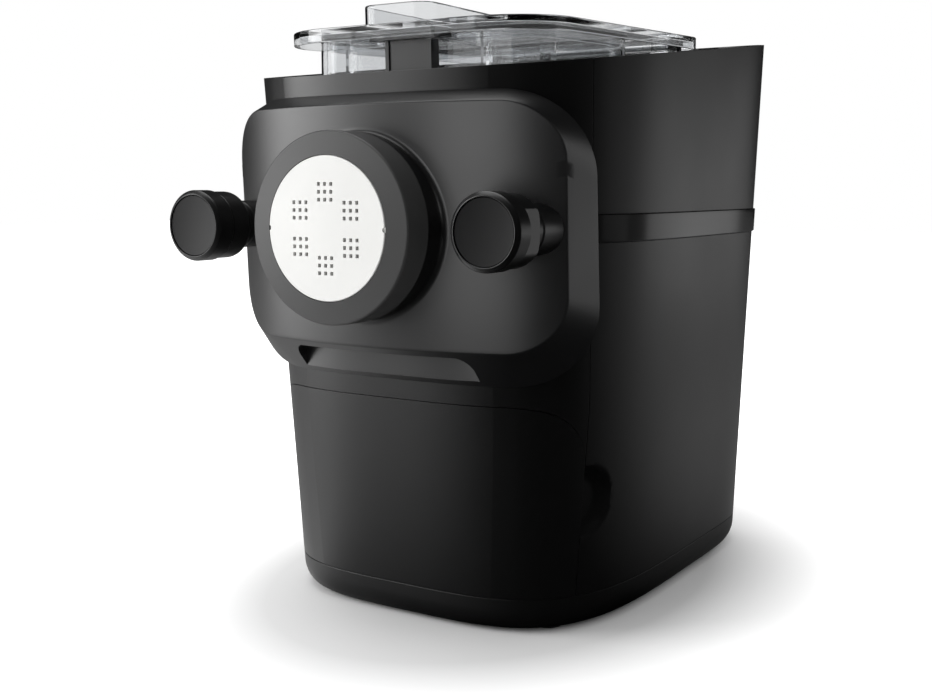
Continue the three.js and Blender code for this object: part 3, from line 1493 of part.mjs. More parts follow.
function axisGroup() {
  const group = new THREE.Group();
  group.position.z = axisHeight;
  const bearingFront = gearboxFrontY + runningGap;
  group.add(
    extrusionTube(),
    clampRing(),
    shapingDisc(),
    extrusionScrew(),
    stirringPaddle(),
    piece("drive_shaft", rod(shaftRadius, shaftFrontY + runningGap, shaftRearY, smallSteps), steel),
    piece("shaft_seal", tube(seal.outer, seal.inner, chamberRearY + runningGap, gearboxFrontY - runningGap), rubber),
    piece("shaft_bearing", tube(bearing.outer, bearing.inner, bearingFront, bearingFront + bearing.width), steel),
    outputGearPiece(),
  );
  return group;
}

// Control panel behind the lid
function controlPanel() {
  const insideAt = (inset) => housingSolid(rimFrontHeight / 2, housingTop, housingWall + inset);
  const outer = common(insideAt(deckGap), rimSlab(deckDrop - runningGap, panelTopDrop, panelFrontY));
  const inner = common(
    insideAt(deckGap + panelPlate),
    rimSlab(deckDrop + cutOverrun, panelTopDrop + panelPlate, panelFrontY + panelPlate),
  );
  const wells = buttonPlaces.map(([, x]) => tiltedAt(x, upright(rod(button.radius + runningGap, -deckDrop, cutOverrun))));
  const { width, height, radius, thickness } = display;
  const recess = tiltedAt(0, displayShape(width + 2 * runningGap, height + 2 * runningGap, radius, -thickness - runningGap, cutOverrun));
  return piece("control_panel", cut(cut(outer, inner), wells, recess), softBlack);
}

function displayShape(width, height, radius, z0, z1) {
  return standing(roundedShape(-width / 2, width / 2, -height / 2, height / 2, radius), z0, z1);
}

// Moves a shape made about the origin onto the sloping panel, at a place across.
const panelMiddleY = (panelFrontY + housingBackY - housingWall) / 2;
const rimTilt = Math.atan(rimSlopeShare);

function tiltedAt(x, geometry) {
  return geometry.rotateX(rimTilt).translate(x, panelMiddleY, rimAt(panelMiddleY) - panelTopDrop);
}

function onPanel(x, mesh) {
  mesh.rotation.x = rimTilt;
  mesh.position.set(x, panelMiddleY, rimAt(panelMiddleY) - panelTopDrop);
  return mesh;
}

function panelPieces() {
  const { width, height, radius, thickness } = display;
  const window = piece("display_window", displayShape(width, height, radius, -thickness, -halfGap / 2), glossBlack);
  const boardTop = -deckDrop + panelTopDrop + 2 * runningGap + controlBoard.thickness;
  const { halfWidth, halfLength, thickness: boardThickness } = controlBoard;
  const board = box(-halfWidth, halfWidth, -halfLength, halfLength, boardTop - boardThickness, boardTop);
  const flangeTop = -panelPlate - runningGap;
  const buttons = buttonPlaces.map(([name, x]) => {
    const profile = [
      [0, boardTop + button.travel + runningGap],
      [button.stem, boardTop + button.travel + runningGap],
      [button.stem, flangeTop - button.flangeThickness],
      [button.flange, flangeTop - button.flangeThickness],
      [button.flange, flangeTop],
      [button.radius, flangeTop],
      [button.radius, button.proud],
      [0, button.proud],
    ];
    return onPanel(x, piece(name, upright(turned(profile, smallSteps)), glossBlack));
  });
  return [onPanel(0, window), onPanel(0, piece("control_board", board, boardGreen)), ...buttons];
}

function lidSensor() {
  const [half, rear] = [sensor.width / 2, sensor.front + sensor.depth];
  const bottom = rimAt(rear) - deckDrop + runningGap;
  return piece("lid_sensor", box(-half, half, sensor.front, rear, bottom, bottom + sensor.height), softBlack);
}

const machine = new THREE.Group();
machine.position.y = -overallDepth / 2;
machine.add(
  basePan(),
  ...feet(),
  ...baseScrews(),
  bodyShell(),
  frontShell(),
  topDeck(),
  trimBand(),
  powerInlet(),
  lidHingePin(),
  mixingChamber(),
  innerFrame(),
  ...loadCells(),
  frontCover(),
  axisGroup(),
  knob(-1),
  knob(1),
  lidGroup(),
  drawerFront(),
  drawerTray(),
  ...drawerRunners(),
  spareDisc(),
  intermediateGear(),
  intermediateAxle(),
  gearboxHousing(),
  gearboxCover(),
  motorCan(),
  motorRotor(),
  coolingFan(),
  powerBoardPiece(),
  controlPanel(),
  ...panelPieces(),
  lidSensor(),
);

export default machine;
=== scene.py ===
import json
import math

import bmesh
import bpy
import numpy as np
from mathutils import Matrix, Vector


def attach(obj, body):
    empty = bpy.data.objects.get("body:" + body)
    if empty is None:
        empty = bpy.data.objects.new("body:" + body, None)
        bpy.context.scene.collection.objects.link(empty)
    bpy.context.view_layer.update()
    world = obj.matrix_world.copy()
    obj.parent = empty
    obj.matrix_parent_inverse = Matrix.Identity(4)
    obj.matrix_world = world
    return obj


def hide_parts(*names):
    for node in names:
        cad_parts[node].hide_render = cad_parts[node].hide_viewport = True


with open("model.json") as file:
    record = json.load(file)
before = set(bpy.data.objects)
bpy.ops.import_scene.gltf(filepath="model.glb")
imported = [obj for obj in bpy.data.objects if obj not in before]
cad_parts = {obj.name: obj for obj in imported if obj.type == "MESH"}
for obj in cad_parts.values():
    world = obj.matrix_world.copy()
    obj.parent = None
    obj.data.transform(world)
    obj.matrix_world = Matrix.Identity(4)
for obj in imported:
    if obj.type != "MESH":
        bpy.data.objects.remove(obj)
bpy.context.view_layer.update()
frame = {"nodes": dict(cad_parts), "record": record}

# Electric pasta maker: camera, studio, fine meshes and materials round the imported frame.
# Sizes are millimetres: x to the right, y back from the face of the shaping disc, z up from the table.
MM = 0.001
DEPTH = 342.0
AXIS = 218.0

# Housing
HALF_WIDTH, FRONT_Y, BACK_Y = 108.8, 62.2, 340.0
SIDE_FLARE, FRONT_LEAN, BACK_LEAN = 0.04, 0.072, 0.005
WIDEST = 0.65
FRONT_POWERS = (3.588, 4.37)
BACK_POWERS = (4.403, 4.472)
BASE_SEAM = 20.0
RIM_HEIGHT, RIM_SLOPE = 297.3, 0.119
SEAM_Y, SEAM_LEAN = 94.0, 0.069
DRAWER_TOP, DRAWER_CORNER = 125.3, 34.0
WALL, EDGE = 2.5, 0.6
HALF_GAP = 0.15
MIDDLE = (0, 200, 150)
BAND = (210.1, 224.6)
SCOOP = {"radius": 19.5, "depth": 6.5, "z": 72.65}
BASE = {"low": 1.5, "high": 14.0, "inset": 7.0, "wall": 3.0, "edge": 0.5}
VENTS = [(x - 1.6, x + 1.6, 325, 344, 74, 120) for x in (-33, -22, -11, 0, 11, 22, 33)]
INLET = (26.2, 53.8, 316, 344, 41.7, 62.3)
FEET = {"front_left": (-74, 98), "front_right": (74, 98), "rear_left": (-74, 300), "rear_right": (74, 300)}
SCREWS = [(x, y) for y in (125.04, 189.95) for x in (-92.5, 92.5)]
SCREW_HOLES = [(x, y) for x in (-92.5, 92.5) for y in (125, 190)]

# The tube, the shaft and the knobs' stems with the holes round them; the shell's are (radius, y) profiles
KNOB_X = 90.5
TUBE_OUTER, TUBE_BORE, SHAFT_BORE = 40.5, 40.8, 6.6
SHELL_TUBE_HOLE, SHELL_STEM_HOLE = [(42.5, 30), (42.5, 80)], [(5, 30), (5, 84)]

# Lid, chamber and top
LID_TILT, LID_HEIGHT = 0.038, RIM_HEIGHT + 16.9
LID = {"half": 86.5, "front": 56.0, "rear": 275.0, "front_radius": 42.0, "rear_radius": 12.0, "edge": 7.3}
CHAMBER = {
    "half": 75.0, "front": 81.0, "rear": 199.88, "radius": 19.0,
    "trough": 59.0, "flare": 266.0, "wall": 3.0, "top": 345.0,
}
POUR = {"half": 22.0, "front": 58.5, "rear": 150.0, "radius": 10.0, "wall": 2.2, "height": 10.0}
HINGE = {"y": 282.5, "rise": 3.7, "x": 52.0, "width": 10.0, "radius": 4.1, "bore": 2.3}
DECK_DROP, DECK_THICKNESS = 8.0, 2.5
PANEL_FRONT, PANEL_DROP, PANEL_PLATE = 291.0, 0.6, 2.2
PANEL_MIDDLE = (PANEL_FRONT + BACK_Y - WALL) / 2
BUTTONS = {"power_button": -76, "menu_button": -56, "tare_button": 56, "start_button": 76}

# How far cutters reach past what they cut, and how near points are one
BEYOND = 400.0
SAME = 1e-6


def place(x, y, z):
    """A point in the frame's metres."""
    return Vector((x * MM, (y - DEPTH / 2) * MM, z * MM))


# Camera
PHOTO_SIZE, SENSOR = (932, 699), 36.0
FOCAL_PX, CENTRE_PX = 1229.0, (457.4, 345.0)
CAMERA_AZIMUTH, CAMERA_PITCH = 32.32, 7.36
CAMERA_PLACE = (381.2, -480.2, AXIS + 20.9)


def make_camera():
    data = bpy.data.cameras.new("camera")
    width, height = PHOTO_SIZE
    data.sensor_width = SENSOR
    data.lens = FOCAL_PX / width * SENSOR
    data.shift_x = (width / 2 - CENTRE_PX[0]) / width
    data.shift_y = (CENTRE_PX[1] - height / 2) / width
    camera = link("camera", data)
    camera.rotation_euler = (math.pi / 2 - math.radians(CAMERA_PITCH), 0, math.radians(CAMERA_AZIMUTH))
    camera.location = place(*CAMERA_PLACE)
    bpy.context.scene.camera = camera


# Mesh helpers
def link(name, data):
    obj = bpy.data.objects.new(name, data)
    bpy.context.scene.collection.objects.link(obj)
    return obj


def mesh_from(name, points, faces):
    """An object from millimetre points, doubles merged and faces turned outwards."""
    mesh = bpy.data.meshes.new(name)
    mesh.from_pydata([place(*p) for p in points], [], faces)
    bm = bmesh.new()
    bm.from_mesh(mesh)
    bmesh.ops.remove_doubles(bm, verts=bm.verts, dist=SAME)
    bmesh.ops.recalc_face_normals(bm, faces=bm.faces)
    bm.to_mesh(mesh)
    bm.free()
    return link(name, mesh)


def grid(rows, wrap=False):
    """Points and quad faces of a grid of rows; wrap joins each row's ends."""
    count = len(rows[0])
    faces = []
    for r in range(len(rows) - 1):
        for c in range(count if wrap else count - 1):
            d = (c + 1) % count
            faces.append((r * count + c, r * count + d, (r + 1) * count + d, (r + 1) * count + c))
    return [p for row in rows for p in row], faces


def capped(rows):
    """A closed grid whose first and last rows are filled."""
    points, faces = grid(rows, wrap=True)
    count = len(rows[0])
    return points, faces + [list(range(count)), [len(points) - count + i for i in range(count)]]


def sealed(obj):
    """Fills any hole that a cut has left in a closed mesh."""
    bm = bmesh.new()
    bm.from_mesh(obj.data)
    bmesh.ops.remove_doubles(bm, verts=bm.verts, dist=SAME)
    rims = [e for e in bm.edges if e.is_boundary]
    if rims:
        bmesh.ops.holes_fill(bm, edges=rims, sides=0)
        bmesh.ops.recalc_face_normals(bm, faces=bm.faces)
    bm.to_mesh(obj.data)
    bm.free()


def lathe(profile, centre=(0, 0), segments=128):
    """A profile of (radius, y) turned about the Y axis through centre = (x, z)."""
    turns = [2 * math.pi * i / segments for i in range(segments)]
    rows = [[(centre[0] + r * math.cos(a), y, centre[1] + r * math.sin(a)) for a in turns] for r, y in profile]
    points, faces = grid(rows, wrap=True)
    if profile[0] == profile[-1]:
        return points, faces
    for ring in (0, len(rows) - 1):
        if profile[ring][0] > 0:
            faces.append([ring * segments + i for i in range(segments)])
    return points, faces


def upright_lathe(profile, segments=64):
    """A profile of (radius, height) turned about the Z axis."""
    points, faces = lathe(profile, (0, 0), segments)
    return [(x, -z, y) for x, y, z in points], faces


def bar(radius, low, high):
    """The profile of a solid bar between two places on its axis."""
    return [(0, low), (radius, low), (radius, high), (0, high)]


def arc(cx, cy, radius, start, end, steps=6):
    """Points of an arc in the plane of a profile, in degrees."""
    turns = [math.radians(start + (end - start) * i / steps) for i in range(steps + 1)]
    return [(cx + radius * math.cos(a), cy + radius * math.sin(a)) for a in turns]


def round_hole(cx, cy, radius, segments=24):
    return arc(cx, cy, radius, 0, 360, segments)[:-1]


def rounded(x0, x1, y0, y1, front, back=None, steps=12):
    """A rounded rectangle's points, counter-clockwise, with the front and back corner radii."""
    back = front if back is None else back
    return (
        arc(x1 - front, y0 + front, front, -90, 0, steps)
        + arc(x1 - back, y1 - back, back, 0, 90, steps)
        + arc(x0 + back, y1 - back, back, 90, 180, steps)
        + arc(x0 + front, y0 + front, front, 180, 270, steps)
    )


def prism(shape, low, high, across="z"):
    """A shape between two places along an axis: points and faces."""
    turn = {"z": lambda u, v, w: (u, v, w), "y": lambda u, v, w: (u, w, v), "x": lambda u, v, w: (w, u, v)}[across]
    count = len(shape)
    points = [turn(u, v, low) for u, v in shape] + [turn(u, v, high) for u, v in shape]
    sides = [(i, (i + 1) % count, count + (i + 1) % count, count + i) for i in range(count)]
    return points, [list(range(count)), list(range(count, 2 * count))] + sides


def block(x0, x1, y0, y1, z0, z1):
    return prism([(x0, y0), (x1, y0), (x1, y1), (x0, y1)], z0, z1)


def spans(inner, outer):
    """The same span on the left and on the right."""
    return [(-outer, -inner), (inner, outer)]


def joined(*parts):
    """Several (points, faces) as one."""
    points, faces = [], []
    for part_points, part_faces in parts:
        start = len(points)
        points += part_points
        faces += [[start + i for i in face] for face in part_faces]
    return points, faces


def moved(part, x=0.0, y=0.0, z=0.0):
    points, faces = part
    return [(x + u, y + v, z + w) for u, v, w in points], faces


def sloped(part, slope, x, y, z):
    """Tilts a part about the X axis by a slope, then moves it."""
    angle = math.atan(slope)
    c, s = math.cos(angle), math.sin(angle)
    points, faces = part
    return [(x + u, y + v * c - w * s, z + v * s + w * c) for u, v, w in points], faces


def on_lid(part):
    """Moves a part made on a flat lid onto the sloping one."""
    return sloped(part, LID_TILT, 0.0, 0.0, LID_HEIGHT)


def modified(obj, kind, **values):
    """Applies one modifier to the mesh."""
    modifier = obj.modifiers.new(kind.lower(), kind)
    for key, value in values.items():
        setattr(modifier, key, value)
    bpy.context.view_layer.update()
    graph = bpy.context.evaluated_depsgraph_get()
    mesh = bpy.data.meshes.new_from_object(obj.evaluated_get(graph), depsgraph=graph)
    old = obj.data
    obj.modifiers.clear()
    obj.data = mesh
    mesh.name = obj.name
    bpy.data.meshes.remove(old)
    return obj


def combined(obj, operation, other):
    """Joins or cuts an object with another, which is used up."""
    modified(obj, "BOOLEAN", object=other, operation=operation, solver="EXACT")
    bpy.data.objects.remove(other)


def boolean(obj, operation, *parts):
    """Joins or cuts an object with (points, faces) parts."""
    for part in parts:
        combined(obj, operation, mesh_from("cutter", *part))


def cut(obj, *parts):
    boolean(obj, "DIFFERENCE", *parts)


def add(obj, *parts):
    boolean(obj, "UNION", *parts)


def bevelled(obj, width, angle=30):
    return modified(
        obj, "BEVEL", width=width * MM, segments=3, limit_method="ANGLE",
        angle_limit=math.radians(angle), use_clamp_overlap=True, miter_outer="MITER_ARC",
    )


def finished(obj, body, slot, node, sharp=35, material=None):
    """Material and smooth shading, the body it rides on, its record slot and the node it stands for."""
    sealed(obj)
    obj.data.materials.append(material or SLOT_MATERIALS[slot])
    obj.data.shade_smooth()
    obj.data.set_sharp_from_angle(angle=math.radians(sharp))
    obj.modifiers.new("weighted", "WEIGHTED_NORMAL").keep_sharp = True
    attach(obj, body)
    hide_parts(node)
    return obj


def piece(node, suffix, part, body, slot, **options):
    """A piece that is finished as it is made."""
    finished(mesh_from(node + suffix, *part), body, slot, node, **options)


# Housing surface
def plan_at(z, inset=0.0):
    rise = z - BASE_SEAM
    half = HALF_WIDTH + SIDE_FLARE * rise - inset
    front = FRONT_Y - FRONT_LEAN * rise + inset
    back = BACK_Y + BACK_LEAN * rise - inset
    return half, front, back, front + WIDEST * (back - front)


def on_housing(t, z, inset=0.0):
    """The point of the housing's outline at an angle, which runs from 0 on the right over the back."""
    half, front, back, middle = plan_at(z, inset)
    across, along = math.cos(t), math.sin(t)
    powers, reach = (FRONT_POWERS, middle - front) if along < 0 else (BACK_POWERS, back - middle)
    x = math.copysign(half * abs(across) ** (2 / powers[0]), across)
    y = middle + math.copysign(reach * abs(along) ** (2 / powers[1]), along)
    return x, y, z


def angle_at(y, z, side=1):
    """The outline's angle where its front part crosses y, on the right (side 1) or the left."""
    half, front, back, middle = plan_at(z)
    share = min(max((middle - y) / (middle - front), 0.0), 1.0)
    t = -math.asin(share ** (FRONT_POWERS[1] / 2))
    return t if side > 0 else -math.pi - t


def even_angles(start, end, z, count):
    """Angles from start to end whose points are evenly spaced along the outline at height z."""
    quarter, fine, crowding = math.pi / 2, 200, 2.5
    marks = {start, end}
    k = math.floor(start / quarter)
    while k * quarter <= end + quarter:
        for i in range(fine):
            step = (quarter / 2) * (i / fine) ** crowding
            marks.update(t for t in (k * quarter + step, k * quarter - step) if start < t < end)
        k += 1
    angles = np.array(sorted(marks))
    xy = np.array([on_housing(t, z)[:2] for t in angles])
    lengths = np.concatenate([[0], np.cumsum(np.hypot(*np.diff(xy, axis=0).T))])
    return np.interp(np.linspace(0, lengths[-1], count), lengths, angles)


def full_turn(z, count):
    return even_angles(0.0, 2 * math.pi, z, count + 1)[:-1]


def seam_at(z):
    return SEAM_Y - SEAM_LEAN * max(0.0, z - DRAWER_TOP)


def rim_at(y):
    return RIM_HEIGHT + RIM_SLOPE * (y - plan_at(RIM_HEIGHT)[1])


def rim_for(angle_of, inset=0.0, drop=0.0):
    """The rim's height along a column whose angle depends on the height, found by substitution."""
    z = RIM_HEIGHT
    for _ in range(4):
        z = rim_at(on_housing(angle_of(z), z, inset)[1]) - drop
    return z


CORNER_STEPS = 14


class FrontColumns:
    """Columns of the front between the two seams: corner columns follow the drawer's round corners."""

    def __init__(self, gap, middle_count=150):
        self.gap = gap
        steps = range(CORNER_STEPS + 1)
        self.reach = [DRAWER_CORNER * math.sin(math.pi / 2 * i / CORNER_STEPS) for i in steps]
        left, right = self.ends(DRAWER_TOP)
        corner = [angle_at(seam_at(DRAWER_TOP) - gap - DRAWER_CORNER + r, DRAWER_TOP) for r in self.reach]
        middle = even_angles(-math.pi - corner[0], corner[0], DRAWER_TOP, middle_count)[1:-1]
        angles = [-math.pi - t for t in reversed(corner)] + list(middle) + corner
        self.shares = [(t - left) / (right - left) for t in angles]
        self.count = len(angles)

    def ends(self, z):
        """The outline's angles at the two seams, a gap in front of them."""
        return [angle_at(seam_at(z) - self.gap, z, side) for side in (-1, 1)]

    def angle(self, c, z):
        left, right = self.ends(z)
        return left + self.shares[c] * (right - left)

    def drop(self, c):
        """How far the drawer's top edge has dropped at a column."""
        n = CORNER_STEPS + 1
        i = n - 1 - c if c < n else c - (self.count - n)
        if i < 0:
            return 0.0
        return DRAWER_CORNER - math.sqrt(max(DRAWER_CORNER**2 - self.reach[i] ** 2, 0.0))

    def rows(self, low, high, count):
        """Rows between two heights given per column."""
        out = []
        for r in range(count + 1):
            heights = [low(c) + (high(c) - low(c)) * (r / count) for c in range(self.count)]
            out.append([on_housing(self.angle(c, z), z) for c, z in enumerate(heights)])
        return out


def walled(name, part, wall=WALL, edge=EDGE, angle=30):
    """A wall grown inwards from a skin of the housing, with softened edges."""
    skin = mesh_from(name, *part)
    centre = place(*MIDDLE)
    bm = bmesh.new()
    bm.from_mesh(skin.data)
    if sum((f.calc_center_median() - centre).dot(f.normal) * f.calc_area() for f in bm.faces) < 0:
        bmesh.ops.reverse_faces(bm, faces=bm.faces)
    bm.to_mesh(skin.data)
    bm.free()
    modified(skin, "SOLIDIFY", thickness=wall * MM, offset=-1.0, use_even_offset=True)
    return bevelled(skin, edge, angle)


def make_front_shell():
    cols = FrontColumns(HALF_GAP)

    def low(c):
        return DRAWER_TOP + HALF_GAP - cols.drop(c)

    def high(c):
        return rim_for(lambda z: cols.angle(c, z))

    shell = walled("front_shell_skin", grid(cols.rows(low, high, 60)))
    cut(shell, lathe(SHELL_TUBE_HOLE, (0, AXIS), 96))
    cut(shell, *[lathe(SHELL_STEM_HOLE, (side * KNOB_X, AXIS), 32) for side in (-1, 1)])
    finished(shell, "housing", "satin_black", "front_shell")


def make_drawer_front():
    cols = FrontColumns(HALF_GAP)

    def low(c):
        return BASE_SEAM + HALF_GAP

    def high(c):
        return DRAWER_TOP - HALF_GAP - cols.drop(c)

    front = walled("drawer_front_skin", grid(cols.rows(low, high, 40)))
    finished(front, "drawer", "satin_black", "drawer_front")


def scoop_push(x, y, z):
    """How far the side wall is pressed in at a point: a round dish that opens at the seam."""
    across = math.hypot(y - SEAM_Y, z - SCOOP["z"]) / SCOOP["radius"]
    if across >= 1:
        return 0.0
    return SCOOP["depth"] * min(1.0, 1.25 * (1 - across**3))


def shell_point(t, z):
    """A point of the rear shell, pressed in where the finger scoops are."""
    x, y, _ = on_housing(t, z)
    push = scoop_push(x, y, z)
    return on_housing(angle_at(y, z, 1 if x > 0 else -1), z, push) if push else (x, y, z)


def make_body_shell():
    reference, count, row = 100.0, 420, 1.6
    lip, steep, depth, ledge = 0.3, 0.25, 1.2, 0.5
    first = angle_at(SEAM_Y + HALF_GAP, reference)
    mid = even_angles(first, math.pi - first, reference, count)
    shares = [(t - mid[0]) / (mid[-1] - mid[0]) for t in mid]

    def angle(c, z):
        low = angle_at(seam_at(z) + HALF_GAP, z)
        return low + shares[c] * (math.pi - 2 * low)

    heights = [BASE_SEAM + HALF_GAP + row * i for i in range(64)]
    heights += [heights[-1] + (BAND[0] - ledge - heights[-1]) * i / 20 for i in range(1, 21)]
    rows = [[shell_point(angle(c, z), z) for c in range(count)] for z in heights]
    groove = [(BAND[0] - lip, 0.0), (BAND[0] - steep, depth), (BAND[1] + steep, depth), (BAND[1] + lip, 0.0)]
    rows += [[on_housing(angle(c, z), z, inset) for c in range(count)] for z, inset in groove]
    rims = [rim_for(lambda z, c=c: angle(c, z)) for c in range(count)]
    low = BAND[1] + ledge
    for i in range(1, 31):
        heights = [low + (rim - low) * i / 30 for rim in rims]
        rows.append([on_housing(angle(c, z), z) for c, z in enumerate(heights)])
    shell = walled("body_shell_skin", grid(rows), angle=50)
    cut(shell, joined(*[block(*sides) for sides in VENTS + [INLET]]))
    finished(shell, "housing", "satin_black", "body_shell")


def make_trim_band():
    middle, rows = 217, 6
    start = angle_at(seam_at(middle), middle)
    angles = even_angles(start, math.pi - start, middle, 400)
    heights = [BAND[0] + (BAND[1] - BAND[0]) * i / rows for i in range(rows + 1)]
    part = grid([[on_housing(t, z, -1.0) for t in angles] for z in heights])
    band = walled("trim_band_skin", part, wall=2.0, edge=0.45)
    finished(band, "housing", "gloss_black", "trim_band")


def make_base():
    low, high, inset = BASE["low"], BASE["high"], BASE["inset"]
    angles = full_turn(15, 360)
    turns = [math.pi / 2 * i / 10 for i in range(11)]
    levels = [(high - (high - low) * math.cos(a), inset * (1 - math.sin(a))) for a in turns]
    rows = [[on_housing(t, z, push) for t in angles] for z, push in levels + [(BASE_SEAM - HALF_GAP, 0.0)]]
    points, faces = grid(rows, wrap=True)
    faces.append(list(range(len(angles))))
    base = walled("base_pan_skin", (points, faces), BASE["wall"], BASE["edge"], 50)
    wells = [prism(round_hole(x, y, 9.3, 48), -1, 2.9) for x, y in sorted(FEET.values())]
    holes = [prism(round_hole(x, y, 3.9), -1, 4.0) for x, y in SCREW_HOLES]
    cut(base, joined(*wells, *holes))
    finished(base, "housing", "base_black", "base_pan")


# Front cover
COVER_FACE = {"half": 104.4, "top": 62.3, "bottom": -62.6, "radius": 28.6}
COVER_RIM = {"half": 114.2, "top": 68.8, "bottom": -82.0, "radius": 43.0}
COVER_HOLLOW = {"half": 98.0, "top": 58.0, "bottom": -56.0, "radius": 32.0}
COVER_CROWN, COVER_BOW, COVER_SWEEP, COVER_REAR_BOW, COVER_LEAN = 29.9, 287.0, 60.3, 254.0, 0.05
COVER_SEAT, COVER_WALL, COVER_FILLET = 0.7, 3.0, 3.0
COLLAR = {"radius": 47.6, "front": 20.1, "back": 40.7}
GRIP = {"half": 57.0, "top": -65.6, "bottom": -79.0, "radius": 8.0, "wall": 1.6, "front": 20.0}
BOSS_PROFILE = [(4.3, 36.3), (12.4, 36.3), (13, 36.9), (13, 55.5), (4.3, 55.5), (4.3, 36.3)]


def cover_loop(size, per_corner=18, per_side=26):
    """The outline's points, counter-clockwise from the middle of the right side."""
    h, t, b, r = size["half"], size["top"], size["bottom"], size["radius"]

    def line(p, q, steps):
        return [(p[0] + (q[0] - p[0]) * i / steps, p[1] + (q[1] - p[1]) * i / steps) for i in range(steps)]

    loop = line((h, b + r), (h, t - r), per_side) + arc(h - r, t - r, r, 0, 90, per_corner)[:-1]
    loop += line((h - r, t), (r - h, t), per_side * 2) + arc(r - h, t - r, r, 90, 180, per_corner)[:-1]
    loop += line((-h, t - r), (-h, b + r), per_side) + arc(r - h, b + r, r, 180, 270, per_corner)[:-1]
    loop += line((r - h, b), (h - r, b), per_side * 2) + arc(h - r, b + r, r, 270, 360, per_corner)[:-1]
    return loop


def face_y(x, rise):
    return COVER_CROWN + x * x / (2 * COVER_BOW) + (x / COVER_SWEEP) ** 4 - COVER_LEAN * rise


def inner_y(x, rise):
    return face_y(x, rise) + COVER_WALL


def housing_front(x, z):
    half, front, back, middle = plan_at(z)
    share = min(abs(x) / half, 1.0)
    return middle - (middle - front) * (1 - share ** FRONT_POWERS[0]) ** (1 / FRONT_POWERS[1])


def cover_rear_y(x, rise):
    z = AXIS + rise
    return min(housing_front(x, z), plan_at(z)[1] + x * x / (2 * COVER_REAR_BOW)) - COVER_SEAT


def grip_slot():
    """The cutter for the slot under the face: rounded ends and a back that follows the bow."""
    half, top, bottom, radius, front = (GRIP[key] for key in ("half", "top", "bottom", "radius", "front"))
    turns = [math.pi / 2 * i / 10 for i in range(1, 11)]
    ends = [(half - radius + radius * math.cos(a), radius * (1 - math.sin(a))) for a in turns]
    columns = ends + [((half - radius) * (1 - i / 20), 0.0) for i in range(1, 20)] + [(0.0, 0.0)]
    columns = [(-x, drop) for x, drop in columns] + [(x, drop) for x, drop in reversed(columns[:-1])]
    points, faces = [], []
    for x, drop in columns:
        back = min(cover_rear_y(x, top), cover_rear_y(x, bottom)) - GRIP["wall"]
        low, high = AXIS + bottom, AXIS + top - drop
        points += [(x, front, low), (x, front, high), (x, back, high), (x, back, low)]
    for i in range(len(columns) - 1):
        a, b = 4 * i, 4 * i + 4
        faces += [(a + k, a + (k + 1) % 4, b + (k + 1) % 4, b + k) for k in range(4)]
    last = 4 * (len(columns) - 1)
    return points, faces + [(0, 1, 2, 3), (last, last + 1, last + 2, last + 3)]


def cover_rows():
    """Rows of the cover's closed surface, from the collar over the face and rim into the hollow."""
    outline, rim, hollow = (cover_loop(size) for size in (COVER_FACE, COVER_RIM, COVER_HOLLOW))
    angles = [math.atan2(z, x) for x, z in outline]
    bore, collar, fillet = TUBE_BORE, COLLAR["radius"], COVER_FILLET

    def circle(radius, y):
        return [(radius * math.cos(a), y, AXIS + radius * math.sin(a)) for a in angles]

    def filleted(turn):
        radius = collar + fillet * (1 - math.sin(turn))
        spots = [(radius * math.cos(a), radius * math.sin(a)) for a in angles]
        return [(x, face_y(x, rise) - fillet * (1 - math.cos(turn)), AXIS + rise) for x, rise in spots]

    def between(share, near, loop, y_of):
        out = []
        for a, (x1, z1) in zip(angles, loop):
            x0, z0 = near * math.cos(a), near * math.sin(a)
            x, rise = x0 + (x1 - x0) * share, z0 + (z1 - z0) * share
            out.append((x, y_of(x, rise), AXIS + rise))
        return out

    def bevel(share):
        out = []
        for (fx, fz), (rx, rz) in zip(outline, rim):
            near, far = face_y(fx, fz), cover_rear_y(rx, rz)
            out.append((fx + (rx - fx) * share, near + (far - near) * share, AXIS + fz + (rz - fz) * share))
        return out

    rows = [circle(bore, COLLAR["front"]), circle(collar, COLLAR["front"]), circle(collar, COLLAR["front"] + 3)]
    rows += [filleted(math.pi / 2 * (1 - i / 5)) for i in range(6)]
    rows += [between(i / 12, collar + fillet, outline, face_y) for i in range(1, 13)]
    rows += [bevel(i / 4) for i in range(1, 5)]
    rows += [[(x, cover_rear_y(x, z), AXIS + z) for x, z in hollow]]
    rows += [between(1 - i / 8, collar, hollow, inner_y) for i in range(9)]
    return rows + [circle(collar, COLLAR["back"]), circle(bore, COLLAR["back"]), rows[0]]


def make_front_cover():
    cover = mesh_from("front_cover_body", *grid(cover_rows(), wrap=True))
    bevelled(cover, 0.7, angle=22)
    cut(cover, grip_slot())
    add(cover, *[lathe(BOSS_PROFILE, (side * KNOB_X, AXIS), 96) for side in (-1, 1)])
    return finished(cover, "front_cover", "satin_black", "front_cover")


# Pieces on the extrusion axis
RING_PROFILE = [(36.5, 0.4), (47.0, 2.0)] + arc(47.2, 3.2, 1.2, -75, 0, 5) + [
    (48.4, 19.4), (48.0, 19.8), (43.9, 19.8), (43.9, 5.7), (41.1, 5.7), (41.1, 2.0), (36.4, 2.0), (36.4, 0.6),
    (36.5, 0.4),
]
DISC_PROFILE = [(0, 0), (35.7, 0), (36, 0.3), (36, 2.3), (38.8, 2.3), (38.8, 6), (0, 6)]
DISC_HOLES = {"circle": 18.2, "pitch": 3.85, "half": 0.95, "corner": 0.25}
TUBE_PROFILE = [
    (33.5, 6.3), (TUBE_OUTER, 6.3), (TUBE_OUTER, 41), (50, 41), (50, 44), (TUBE_OUTER, 44), (TUBE_OUTER, 86),
    (33.5, 86), (33.5, 6.3),
]
LUG = {"outer": 42.9, "inner": 39.5, "half_angle": 20, "front": 13, "back": 17}


def on_axis(name, profile, segments):
    return mesh_from(name, *lathe(profile, (0, AXIS), segments))


